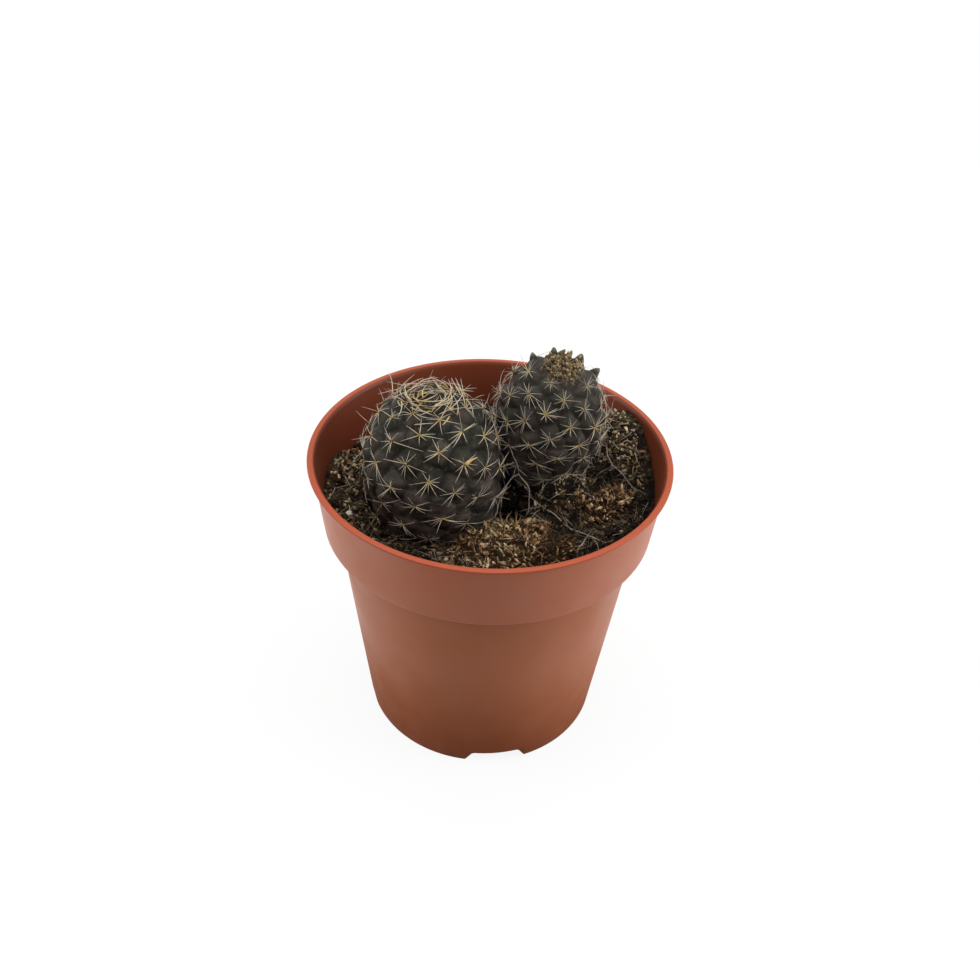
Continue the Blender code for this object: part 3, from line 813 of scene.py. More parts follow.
LEFT_STEM = Stem(
    centre=(-13.3 * MM, -2.6 * MM, 72.0 * MM),
    radius=16.3 * MM,
    half_height=19.8 * MM,
    lean=(-0.087, 0.045),
    first_angle=3.92,
    areole_area=47 * MM**2,
    crowding=12.0,
    turn=1,
    tubercle=1.6 * MM,
)
RIGHT_STEM = Stem(
    centre=(13.1 * MM, 8.1 * MM, 79.0 * MM),
    radius=13.2 * MM,
    half_height=17.2 * MM,
    lean=(0.135, 0.16),
    first_angle=-0.19,
    areole_area=31 * MM**2,
    crowding=3.5,
    turn=-1,
    tubercle=1.7 * MM,
)


def tip_drop(polar):
    """How far a tubercle's tip hangs down along the skin, to its height."""
    return -0.45 * smooth_step(1.0, 1.8, polar)


def directions(polar, turn):
    return np.stack([np.sin(polar) * np.cos(turn), np.sin(polar) * np.sin(turn), np.cos(polar)], axis=-1)


def tubercle_rise(where, tips, polar):
    """0 in the furrows between the tubercles and 1 at their tips. The low tubercles are broad and flat."""
    first = np.full(len(where), 9.0)
    second = np.full(len(where), 9.0)
    nearest = np.zeros(len(where), int)
    squash = 1 + 0.55 * smooth_step(1.0, 1.8, np.arccos(np.clip(where[:, 2], -1, 1)))
    for i, tip in enumerate(tips):
        cos, sin = math.cos(polar[i]), math.sin(polar[i])
        down = np.array((cos * tip[0], cos * tip[1], 0.0)) / max(sin, 1e-3)
        down[2] = -sin
        away = where - tip
        below = away @ down
        far = np.sqrt(np.maximum((away**2).sum(axis=1) + (squash**2 - 1) * below**2, 0))
        closer = far < first
        second = np.where(closer, first, np.minimum(second, far))
        nearest = np.where(closer, i, nearest)
        first = np.where(closer, far, first)
    inward = (second - first) / (second + first)
    dome = 1 - (1 - inward) ** 2
    return 0.65 * dome + 0.35 * inward, nearest


def make_stem(name, stem, neighbour, node, flat_crown):
    """A skin over the lattice of areoles, then every point raised by how far up a tubercle it is."""
    polar, turn = stem.areoles()
    tips = directions(polar, turn)
    rings = [
        directions(np.full(count, math.radians(angle)), np.arange(count) * TAU / count)
        for angle, count in ((138, 14), (150, 10), (164, 8))
    ]
    lattice = np.concatenate([tips, *rings, [[0, 0, -1]]])
    obj = mesh_object(name, lattice, [])
    with editing(obj):
        bpy.ops.mesh.convex_hull()
        bpy.ops.mesh.quads_convert_to_tris()
        bpy.ops.mesh.subdivide(number_cuts=15)
        bpy.ops.mesh.quads_convert_to_tris()
    where = np.array([v.co for v in obj.data.vertices])
    where /= np.linalg.norm(where, axis=1)[:, None]
    p = np.arccos(np.clip(where[:, 2], -1, 1))
    t = np.arctan2(where[:, 1], where[:, 0])
    rise, nearest = tubercle_rise(where, tips, polar)
    random.seed(len(tips))
    vigour = np.array([random.uniform(0.80, 1.12) for _ in tips])
    vigour *= smooth_step(flat_crown - 0.15, flat_crown + 0.08, polar)
    still_above = smooth_step(FADE_START, FADE_END, stem.point(p, t)[:, 2])
    rise += (1 - rise) * 0.45 * smooth_step(1.15, 1.6, p)
    height = rise * stem.tubercle * vigour[nearest] * (0.25 + 0.75 * still_above)
    ripple = np.array([noise.fractal(Vector(stem.point(a, b)) / (4.5 * MM), 1.0, 2.0, 3) for a, b in zip(p, t)])
    points = stem.point(p, t, out=height - stem.tubercle + 0.28 * MM * ripple, lift=tip_drop(p) * height)
    way = neighbour.centre - stem.centre
    room = np.linalg.norm(way) - stem.radius - neighbour.radius
    way /= np.linalg.norm(way)
    over = (points - stem.centre) @ way - stem.radius - room / 2 + 0.15 * MM
    points -= np.outer(np.maximum(over, 0), way)
    obj.data.vertices.foreach_set("co", points.astype(np.float32).ravel())
    obj.data.update()
    face_outwards(obj)
    smoothed(obj)
    paint(obj, "rise", rise * vigour[nearest])
    paint(obj, "low", np.clip((p - 1.0) / 1.2, 0, 1))
    spacing = math.sqrt(stem.areole_area) / stem.radius
    below = (p - polar[nearest]) / spacing
    # Marks where the skin gets painted shade below each tubercle's tip.
    under = smooth_step(0.06, 0.24, below) * smooth_step(1.05, 1.55, p)
    paint(obj, "under", under * (1 - smooth_step(0.90, 0.99, rise)))
    place(obj, "cactus_skin", SKINS[node], node)
    normals, crownwards, sides = stem.frame_at(polar, turn)
    tip = stem.tubercle * vigour
    seats = stem.point(polar, turn, out=tip - stem.tubercle, lift=tip_drop(polar) * tip)
    return polar, seats, normals, crownwards, sides


# ---------------------------------------------------------------- spines, wool and crowns
# The right stem's granular crown lies off its axis, to the right and back
CROWN_SHIFT = Vector((0.6 * MM, 2.2 * MM, -0.1 * MM))
# The left stem's nest of spines lies off its axis too: how far, and which way round
NEST_SHIFT = 0.14
NEST_WAY = 0.66
# Where one thick golden spine stands, on the left stem's right side
GOLDEN_SPINE = Vector((-5.3, -15.4, 82.0)) * MM


def sliced(obj, cuts):
    """Cuts rings into an upright shape, so that it can bend."""
    with editing(obj):
        for cut in cuts:
            bpy.ops.mesh.select_all(action="SELECT")
            bpy.ops.mesh.bisect(plane_co=(0, 0, cut), plane_no=(0, 0, 1))
    return obj


def spine_blank(bend, thick=0.024):
    """A tapered spine one unit long, curved towards its +X."""
    cone = {"vertices": 4, "radius1": thick, "radius2": 0.2 * thick, "depth": 1, "location": (0, 0, 0.5)}
    return bent(sliced(added(bpy.ops.mesh.primitive_cone_add, **cone), (0.2, 0.4, 0.6, 0.8)), bend)


def bent(obj, bend):
    modifier = obj.modifiers.new("bend", "SIMPLE_DEFORM")
    modifier.deform_method = "BEND"
    modifier.deform_axis = "Y"
    modifier.angle = math.radians(bend)
    apply_all(obj)
    return Blank(obj)


def lump_blank(seed, shape, subdivisions, offset):
    """A lumpy crumb or clod about one unit across."""
    obj = added(bpy.ops.mesh.primitive_ico_sphere_add, scale=shape, subdivisions=subdivisions, radius=0.5)
    return Blank(roughened(obj, offset, seed))


def bud_blank(seed):
    """A young tubercle one unit tall: a small blunt cone with a swollen waist, a little out of true."""
    profile = [(0.40, 0), (0.47, 0.22), (0.40, 0.50), (0.26, 0.76), (0.15, 0.92), (0.05, 1.0)]
    return Blank(roughened(turned("bud", profile, 8), 0.05, seed))


def jitter(rng, amount):
    return Vector((rng.uniform(-1, 1), rng.uniform(-1, 1), rng.uniform(-1, 1))) * amount


def thrown(rng, blanks, size, at, way=None):
    """One of the blanks, and a matrix that drops it at a place with a random turn."""
    blank = rng.choice(blanks)
    way = jitter(rng, 1) if way is None else way
    return blank, turned_to(way, rng.uniform(0, TAU), (size,) * 3, at)


def each_seat(seated):
    """The polar angle, the place and the three directions of each areole."""
    for polar, *seat in zip(*seated):
        yield polar, *(Vector(v) for v in seat)


def grow_spines(stem, seated, length, counts, bare_crown, hairs, seed):
    """Radial spines that hug the skin round each areole, a central one here and there, and a few long hairs."""
    rng = random.Random(seed)
    copies = []
    for polar, at, n, up, side in each_seat(seated):
        if at.z < BURIED:
            continue
        young = 1 - float(smooth_step(0.30, 0.70, polar))
        old = float(smooth_step(1.4, 2.0, polar))
        low = float(smooth_step(1.1, 1.6, polar))
        if bare_crown and (polar < 0.34 or (polar < 0.75 and n.y > 0.0)) or polar < 0.16:
            continue
        n = (n - up * 0.06 * old).normalized()
        foot = at - n * 0.12 * MM
        grown = length * rng.uniform(0.85, 1.12) * (1 - 0.15 * old)
        grown *= 1 - 0.40 * young if bare_crown else 1 + 0.10 * young
        if n.y > 0.1 and polar < 1.0:
            grown *= 0.78
        grey = rng.gauss(0.34 if bare_crown else 0.20, 0.22) + 0.50 * old
        count = rng.randint(*counts) - round(2.5 * young)
        first = rng.uniform(0, TAU)
        sweep = side * rng.gauss(0, 0.22) + up * rng.gauss(-0.05, 0.18)
        for k in range(count):
            around = first + (k + rng.uniform(-0.45, 0.45)) * TAU / count
            flat = up * math.cos(around) * (1 - 0.50 * low) + side * math.sin(around)
            rise = math.radians(rng.uniform(4, 32) + 10 * young)
            direction = flat.normalized() * math.cos(rise) + n * math.sin(rise) + sweep + jitter(rng, 0.14)
            sideways = abs(math.sin(around))
            reach = grown * (0.70 - 0.22 * low + (0.30 + 0.30 * low) * sideways) * rng.uniform(0.55, 1.25)
            wide = grown * rng.uniform(0.8, 1.25)
            inward = -n if young < 0.3 or bare_crown else -Vector(stem.axis) + jitter(rng, 0.5)
            matrix = turned_to(direction, 0, (wide, wide, reach), foot, towards=inward)
            copies.append((rng.choice(SPINES), matrix, clamp(rng.gauss(grey, 0.28))))
        if rng.random() < 0.5:
            direction = n + up * rng.uniform(-0.5, 0.6) + jitter(rng, 0.6)
            roll, reach = rng.uniform(0, TAU), grown * rng.uniform(0.7, 1.25)
            matrix = turned_to(direction, roll, (grown, grown, reach), foot)
            copies.append((rng.choice(SPINES), matrix, rng.random() * 0.5))
        if rng.random() < hairs:
            flat = side * rng.choice((-1, 1)) + up * rng.uniform(-1.3, 0.9)
            direction = flat.normalized() + n * 0.28
            reach = grown * rng.uniform(1.5, 2.5)
            matrix = turned_to(direction, 0, (reach,) * 3, foot, towards=-n)
            copies.append((HAIR, matrix, rng.uniform(0.3, 1.0)))
    return copies


def grow_nest(stem, arcs, golden, straight, seed):
    """Round the sunken crown: concentric arcs like a nest's rim, golden ones in it, and long straight spines."""
    rng = random.Random(seed)
    copies = []

    def add(polar, out, sideways, upward, outward, reach, wide, tint, coiled):
        turn = rng.uniform(0, TAU)
        polar = abs(polar + NEST_SHIFT * math.cos(turn - NEST_WAY))
        n, up, side = (Vector(v) for v in stem.frame_at(np.array(polar), np.array(turn)))
        at = Vector(stem.point(polar, turn, out=out * MM))
        way = side * sideways * rng.choice((-1, 1)) + up * upward + n * outward
        size = (wide * MM, wide * MM, reach * MM)
        matrix = turned_to(way, rng.uniform(0, TAU), size, at, towards=up - n * 0.3 if coiled else None)
        copies.append((SPINES[2] if coiled else rng.choice(SPINES), matrix, tint))

    draw = rng.uniform
    for _ in range(arcs):
        polar, out, upward, outward = draw(0.10, 0.46), draw(-0.8, 0.7), draw(-0.7, 0.6), draw(-0.1, 0.4)
        add(polar, out, 1, upward, outward, draw(3.0, 6.2), 7.4, draw(-0.2, 0.5), rng.random() < 0.75)
    for _ in range(golden):
        polar = 0.22 * math.sqrt(rng.random()) + 0.02
        out, upward, outward = draw(-1.0, 0.2), draw(-0.5, 0.4), draw(0, 0.4)
        add(polar, out, 1, upward, outward, draw(1.6, 3.8), 4.8, -1.0, rng.random() < 0.7)
    for _ in range(straight):
        polar, sideways, upward, outward = draw(0.30, 0.66), draw(0.4, 1), draw(-0.2, 0.5), draw(0.1, 0.5)
        add(polar, 0, sideways, upward, outward, draw(3.6, 6.4), 6.4, draw(0, 0.6), False)
    size = (20 * MM, 20 * MM, 2.9 * MM)
    matrix = turned_to((0.55, 0.30, 0.70), 0, size, GOLDEN_SPINE, towards=(0.8, -0.2, -0.4))
    copies.append((SPINES[0], matrix, -1.0))
    return copies


def grow_wool(seated, seed):
    """A small pad of wool under the spines of each areole."""
    rng = random.Random(seed)
    copies = []
    for _, at, n, _, _ in each_seat(seated):
        size = rng.uniform(0.6, 0.9) * MM
        matrix = turned_to(n, rng.uniform(0, TAU), (size, size, size * 0.7), at + n * 0.02 * MM)
        copies.append((rng.choice(PEBBLES), matrix, rng.uniform(0.3, 1.0)))
    return copies


def grow_buds(name, stem, seated, amount, reach, seed):
    """Granular young tubercles on a sunflower spiral over the crown, and larger dark ones behind them."""
    rng = random.Random(seed)
    axis = Vector(stem.axis)
    copies = []

    def add(at, stand, size, tall, tint):
        roll = rng.uniform(0, TAU)
        matrix = turned_to(stand, roll, (size, size * rng.uniform(0.75, 1.0), size * tall), at)
        copies.append((rng.choice(BUDS), matrix, tint))

    for k in range(amount):
        part = math.sqrt((k + 0.5) / amount)
        polar = abs(reach * part + rng.uniform(-0.03, 0.03))
        turn = stem.first_angle + k * GOLDEN_ANGLE + rng.uniform(-0.1, 0.1)
        n = stem.normal_at(polar, turn)
        at = Vector(stem.point(polar, turn, out=-stem.tubercle * rng.uniform(0.45, 1.0))) + CROWN_SHIFT
        size = rng.uniform(0.55, 1.3) * MM
        stand = n + axis * 0.3 + jitter(rng, 0.9)
        add(at, stand, size, rng.uniform(0.8, 1.5), rng.choice((0.28, 0.4, 0.7, 1.0, 1.0)))
    for polar, at, n, _, _ in each_seat(seated):
        if 0.26 < polar < 0.95 and (n.y > 0.0 or polar < 0.34):
            size = rng.uniform(2.2, 3.0) * MM
            stand = n + axis * 0.35 + jitter(rng, 0.12)
            add(at - n * 1.5 * MM, stand, size, 1.0, rng.uniform(0.0, 0.16))
    place(plant(name, copies), "cactus_skin", bud_finish())


def fuzz(stem, amount, far, seed):
    """Short tangled wool and bristles among the young tubercles."""
    rng = random.Random(seed)
    copies = []
    for _ in range(amount):
        polar, turn = far * math.sqrt(rng.random()), rng.uniform(0, TAU)
        n = stem.normal_at(polar, turn)
        at = Vector(stem.point(polar, turn, out=rng.uniform(-1.4, -0.2) * MM))
        reach = rng.uniform(0.9, 2.1) * MM
        matrix = turned_to(n + jitter(rng, 1.0), rng.uniform(0, TAU), (reach,) * 3, at)
        copies.append((CURLED, matrix, rng.random()))
    return copies


# ---------------------------------------------------------------- potting mix
# Places where the mix differs, in mm: x, y, radius, how much paler (or darker) it is, how much higher it is heaped.
# The darker ones, which lie lower too, are painted shade in hollows.
PATCHES = (
    (-36.0, 5.5, 5.0, 0.80, 1.4),
    (-33.0, -3.0, 9.0, 0.50, 0.4),
    (-27.0, -22.0, 7.0, 0.12, 0.2),
    (32.0, 19.0, 10.0, 0.85, 1.6),
    (36.5, 12.0, 7.0, 0.65, 2.8),
    (14.5, -3.5, 5.0, 0.80, 4.4),
    (20.5, -1.0, 5.0, 0.80, 3.8),
    (28.0, -6.0, 5.0, 0.18, 0.4),
    (7.0, -21.0, 13.0, 0.18, 0.4),
    (-7.0, -22.5, 6.0, 0.80, 0.6),
    # These three are darker and lower: painted shade in hollows.
    (25.0, -21.0, 8.0, -0.16, -0.3),
    (15.0, -11.0, 4.5, -0.18, -0.4),
    (26.0, 2.6, 3.2, -0.90, -1.8),
    (30.5, 9.0, 3.5, 0.80, 0.8),
)
# The numbers of the last two columns
PALE_OR_SHADE, HEAPED = 3, 4
# The pit between the stems, darkened with painted shade, in mm: x, y, radius and how wide its edge is
PIT = (6.0, -3.0, 3.4, 0.9)


def patch_sum(x, y, column=PALE_OR_SHADE):
    total = 0.0
    for patch in PATCHES:
        far = (x / MM - patch[0]) ** 2 + (y / MM - patch[1]) ** 2
        total += patch[column] * math.exp(-far / patch[2] ** 2)
    return total


def tree_of(obj):
    mesh = obj.data
    return BVHTree.FromPolygons([v.co for v in mesh.vertices], [tuple(p.vertices) for p in mesh.polygons])


def ground_finder():
    """Returns a function for the height of the mix, with the stems' pockets filled in low."""
    tree = tree_of(frame["nodes"]["potting_mix"])

    def ground(x, y):
        held = min(1.0, EDGE_HOLD / max(math.hypot(x, y), 1e-9))
        x, y = x * held, y * held
        hit = tree.ray_cast(Vector((x, y, 0.2)), -UP)[0]
        return max(hit.z, POCKET_FILL) if hit is not None else POCKET_FILL

    return ground


def lumps(x, y):
    """The middling and the small lumps of the mix: above 0 on a lump, below 0 between lumps."""
    p = Vector((x, y, 0.0)) / MM
    return 0.5 - cell(p * 0.42), 0.4 - cell(p * 0.95 + Vector((7, 3, 0)))


def clods(x, y):
    """Lumpy relief of the mix, in metres."""
    p = Vector((x, y, 0.0)) / MM
    big = 0.55 - cell(p * 0.22 + Vector((3, 9, 0)))
    lump, small = lumps(x, y)
    fine = noise.fractal(p * 1.1, 1.0, 2.0, 4)
    heaps = patch_sum(x, y, HEAPED) * (1 - pit_depth(x, y))
    return (0.9 * big + 0.85 * lump + 0.55 * small + 0.30 * fine + heaps) * MM


def pit_depth(x, y):
    """1 in the dark pit between the stems and 0 away from it."""
    far = math.hypot(x / MM - PIT[0], y / MM - PIT[1])
    return 1 - float(smooth_step(PIT[2], PIT[2] + PIT[3], far))


def hollow(x, y):
    """1 in the gaps between the lumps of mix, where the mix and its crumbs get painted shade, and 0 on top of them.
    """
    lump, small = lumps(x, y)
    return 1 - float(smooth_step(-0.25, 0.0, lump + 0.5 * small))


def surface(x, y):
    """The height of the finished mix: the clods fade out in the pockets."""
    z = GROUND(x, y)
    return z + clods(x, y) * float(smooth_step(*CLOD_FADE, z))


def make_mix():
    """A fine grid over the mix, trimmed to the pot, with its rim carried down the inside of the pot."""
    size = 2 * (inner_radius(66 * MM) + 2 * MM)
    obj = added(bpy.ops.mesh.primitive_grid_add, x_subdivisions=190, y_subdivisions=190, size=size)
    obj.name = "mix_surface"
    limit = inner_radius(63 * MM) - SOIL_CLEARANCE
    with mesh_of(obj) as mesh:
        outside = [v for v in mesh.verts if v.co.xy.length > limit + 0.25 * MM]
        bmesh.ops.delete(mesh, geom=outside, context="VERTS")
        edge = {v for v in mesh.verts if v.is_boundary}
        for vert in mesh.verts:
            x, y = vert.co.xy
            if vert in edge:
                x, y = vert.co.xy * (limit / vert.co.xy.length)
                z = surface(x * 0.985, y * 0.985)
                wide = (inner_radius(z) - SOIL_CLEARANCE) / math.hypot(x, y)
                x, y = x * wide, y * wide
            else:
                z = surface(x, y)
            vert.co = (x, y, z)
    with editing(obj, "DESELECT"):
        bpy.ops.mesh.select_non_manifold()
        for radius, height in (
            (inner_radius(LEDGE + 0.5 * MM) - 0.3 * MM, LEDGE + 0.5 * MM),
            (body_radius(COLLAR_FOOT) - WALL - 0.3 * MM, LEDGE + 0.1 * MM),
            (inner_radius(FLOOR_TOP + 1 * MM) - 0.3 * MM, FLOOR_TOP + 1 * MM),
            (inner_radius(FLOOR_TOP) - 1.2 * MM, FLOOR_TOP + 0.2 * MM),
        ):
            bpy.ops.mesh.extrude_region_move()
            bpy.ops.object.mode_set(mode="OBJECT")
            for vert in obj.data.vertices:
                if vert.select:
                    wide = radius / vert.co.xy.length
                    vert.co = (vert.co.x * wide, vert.co.y * wide, height)
            bpy.ops.object.mode_set(mode="EDIT")
        bpy.ops.mesh.edge_face_add()
    face_outwards(obj)
    smoothed(obj)
    # Painted shade for the pit and the gaps between lumps, for the material to read.
    paint(obj, "painted_hollow_shade", [max(pit_depth(*v.co.xy), 0.85 * hollow(*v.co.xy)) for v in obj.data.vertices])
    place(obj, "potting_mix", peat(), "potting_mix")


def on_mix(rng, margin=1.0 * MM, lowest=58.2 * MM):
    """A random place on the open mix: x, y and the height."""
    while True:
        x, y = (rng.uniform(-40, 40) * MM for _ in range(2))
        if math.hypot(x, y) > inner_radius(64 * MM) - margin:
            continue
        if GROUND(x, y) > lowest and pit_depth(x, y) < 0.4:
            return x, y, surface(x, y)


def scatter_crumbs(clod_count, crumb_count, seed):
    """Clods and crumbs, most of them dark, paler where the patches say so, and darker in the gaps between lumps as
    painted shade.
    """
    rng = random.Random(seed)
    copies = []
    for _ in range(clod_count):
        x, y, z = on_mix(rng, 2.0 * MM)
        size = rng.uniform(1.3, 2.6) * MM
        # Painted shade: clods in the gaps between lumps are darker.
        tint = min(0.62, 0.05 + 0.45 * rng.random() + 0.7 * patch_sum(x, y)) - 0.3 * hollow(x, y)
        copies.append((*thrown(rng, CLODS, size, (x, y, z - 0.15 * size)), clamp(tint)))
    for _ in range(crumb_count):
        x, y, z = on_mix(rng)
        size = (0.35 + 0.95 * rng.random() ** 2) * MM
        # Painted shade: crumbs in the gaps between lumps are darker.
        tint = rng.random() ** 1.5 + patch_sum(x, y) * rng.uniform(0.4, 1.3) - 0.55 * hollow(x, y)
        at = (x, y, z + 0.2 * size + rng.random() ** 3 * 0.8 * MM)
        copies.append((*thrown(rng, PEBBLES, size, at), clamp(tint)))
    copies += dirty_foot(LEFT_STEM, 260, 63 * MM, 41) + dirty_foot(RIGHT_STEM, 700, 72 * MM, 42)
    place(plant("mix_crumbs", copies, smooth=False), "potting_mix", crumbs_finish())


def dirty_foot(stem, amount, highest, seed):
    """Crumbs stuck to the foot of a stem, thicker towards the ground and to its right."""
    rng = random.Random(seed)
    copies = []
    while len(copies) < amount:
        polar, turn = rng.uniform(1.6, 2.25), rng.uniform(0, TAU)
        at = Vector(stem.point(polar, turn, out=-0.5 * stem.tubercle))
        n = stem.normal_at(polar, turn)
        top = highest - 4.5 * MM * rng.random() ** 0.6 + (n.x - 0.5) * 3.0 * MM
        if at.z > top or pit_depth(*at.xy) > 0.1:
            continue
        size = (0.3 + 0.8 * rng.random() ** 2) * MM
        copies.append((*thrown(rng, PEBBLES, size, at), 0.30 + 0.50 * rng.random()))
    return copies


def scatter_fibres(amount, seed):
    rng = random.Random(seed)
    copies = []
    for _ in range(amount):
        x, y, z = on_mix(rng, 1.5 * MM)
        reach = rng.uniform(1.5, 6.0) * MM
        around = rng.uniform(0, TAU)
        direction = Vector((math.cos(around), math.sin(around), rng.uniform(-0.10, 0.55)))
        if (Vector((x, y, z)) + direction * reach).xy.length > FIBRE_LIMIT:
            continue
        tint = min(1, rng.random() ** 1.7 + 0.5 * max(0, patch_sum(x, y)))
        at = (x, y, z + rng.uniform(0.1, 0.7) * MM)
        copies.append((*thrown(rng, STRANDS, reach, at, direction), tint))
    place(plant("mix_fibres", copies), "dry_fibre", DRY)


# ---------------------------------------------------------------- moss
def shred_blank(seed, bend):
    """A curled shred one unit long: a thin strip, ragged, narrower at the end."""
    strip = added(bpy.ops.mesh.primitive_cube_add, scale=(0.07, 0.30, 1), size=1, location=(0, 0, 0.5))
    obj = roughened(sliced(strip, (0.3, 0.55, 0.8)), 0.06, seed)
    for vert in obj.data.vertices:
        vert.co.y *= 1.0 - 0.7 * abs(vert.co.z - 0.35)
    return bent(obj, bend)


def sprig_blank(seed):
    """A sprig of dry moss: a thin stalk with small pointed leaves all round it."""
    rng = random.Random(seed)
    cone = {"vertices": 3, "radius1": 0.035, "radius2": 0.012, "depth": 1, "location": (0, 0, 0.5)}
    obj = added(bpy.ops.mesh.primitive_cone_add, **cone)
    with mesh_of(obj) as mesh:
        for k in range(11):
            height = 0.12 + 0.085 * k
            around = k * GOLDEN_ANGLE + rng.uniform(-0.3, 0.3)
            reach = rng.uniform(0.22, 0.34) * (1.1 - 0.5 * height)
            out = Vector((math.cos(around), math.sin(around), 0))
            side = Vector((-out.y, out.x, 0))
            foot = UP * height
            tip = foot + out * reach + UP * reach * rng.uniform(0.3, 0.9)
            middle = foot.lerp(tip, 0.45) + UP * 0.02
            corners = [foot, middle + side * 0.045, tip, middle - side * 0.045]
            top = [mesh.verts.new(c) for c in corners]
            low = [mesh.verts.new(c - UP * 0.018) for c in corners]
            mesh.faces.new(top)
            mesh.faces.new(low[::-1])
            for a in range(4):
                b = (a + 1) % 4
                mesh.faces.new((top[a], low[a], low[b], top[b]))
        bmesh.ops.recalc_face_normals(mesh, faces=mesh.faces)
    return Blank(obj)


def copy_of_node(node, name, cuts):
    """A finer copy of a CAD node's mesh, to be worked up."""
    source = frame["nodes"][node]
    obj = source.copy()
    obj.data = source.data.copy()
    obj.name = name
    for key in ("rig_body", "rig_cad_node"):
        del obj[key]
    obj.parent = None
    bpy.context.scene.collection.objects.link(obj)
    with editing(obj):
        bpy.ops.mesh.remove_doubles(threshold=0.001 * MM)
        bpy.ops.mesh.subdivide(number_cuts=cuts)
    return smoothed(obj)


def grow_moss(name, node, amount, dull_beyond, seed):
    """A lumpy heart with shreds, strands, crumbs and a few sprigs standing out of it, darker in the gaps between
    lumps as painted shade, duller beyond some x.
    """
    # What stands out of it: blanks, running share, shortest and longest in mm, how widely it leans
    kinds = (
        (SHREDS, 0.38, 0.7, 2.0, 0.9),
        (STRANDS, 0.60, 1.4, 4.0, 1.2),
        (PEBBLES, 0.96, 0.5, 1.5, 1.0),
        (SPRIGS, 1.0, 1.0, 2.0, 0.5),
    )
    # Dark, brown, tan and straw ones: middle tint and spread
    shades = ((0.16, 0.12), (0.48, 0.14), (0.66, 0.12), (0.88, 0.10))
    heart = copy_of_node(node, name, 3)
    for vert in heart.data.vertices:
        p = vert.co / MM
        lump = 0.5 - cell(p * 0.34) + 0.6 * (0.45 - cell(p * 0.8))
        if vert.normal.z > 0.2:
            vert.co += vert.normal * (1.9 * lump + 0.5 * noise.fractal(p * 1.3, 1.0, 2.0, 3)) * MM
    # Painted shade: the heart is tinted nearly black, for the depths of the clump.
    paint(heart, "tint", 0.05)
    paint(heart, "along", 0.5)
    tree = tree_of(heart)
    place(heart, "dry_moss", MOSS, node)

    rng = random.Random(seed)
    low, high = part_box(node)
    copies = []
    while len(copies) < amount:
        x, y = rng.uniform(low.x, high.x), rng.uniform(low.y, high.y)
        hit, normal, _, _ = tree.ray_cast(Vector((x, y, 0.2)), -UP)
        if hit is None:
            continue
        border = cell(hit / MM * 0.34)
        if border > 0.66 and rng.random() < 0.7:
            continue
        draw = rng.random()
        blanks, _, shortest, longest, spread = next(kind for kind in kinds if draw < kind[1])
        direction = normal * 0.55 + jitter(rng, spread)
        direction.z = abs(direction.z) * 0.8
        reach = rng.uniform(shortest, longest) * MM
        matrix = turned_to(direction, rng.uniform(0, TAU), (reach,) * 3, hit - normal * 0.3 * MM)
        # Tufts in the gaps between lumps are darker: painted shade, on top of a random tone.
        clump = 0.22 * noise.noise(hit / (2.2 * MM)) + 0.75 * (0.50 - border)
        clump -= 0.34 * float(smooth_step(dull_beyond, dull_beyond + 4 * MM, x))
        tint = rng.gauss(*rng.choice(shades)) + clump
        copies.append((rng.choice(blanks), matrix, clamp(tint)))
    place(plant(name + "_tufts", copies, smooth=False), "dry_moss", MOSS)


def scatter_shreds(amount, seed):
    """Loose shreds of moss over the patches where the mix is paler."""
    rng = random.Random(seed)
    copies = []
    while len(copies) < amount:
        x, y, z = on_mix(rng, 2.5 * MM)
        pale = patch_sum(x, y)
        if rng.random() > 0.08 + 3.0 * pale:
            continue
        direction = jitter(rng, 1) + UP * 0.45
        direction.z = abs(direction.z)
        reach = rng.uniform(0.8, 2.6) * MM
        matrix = turned_to(direction, rng.uniform(0, TAU), (reach,) * 3, (x, y, z - 0.1 * MM))
        blank = rng.choice(SHREDS + STRANDS)
        copies.append((blank, matrix, clamp(rng.gauss(0.40 + 0.35 * min(pale, 1), 0.25))))
    place(plant("mix_shreds", copies, smooth=False), "dry_moss", MOSS)


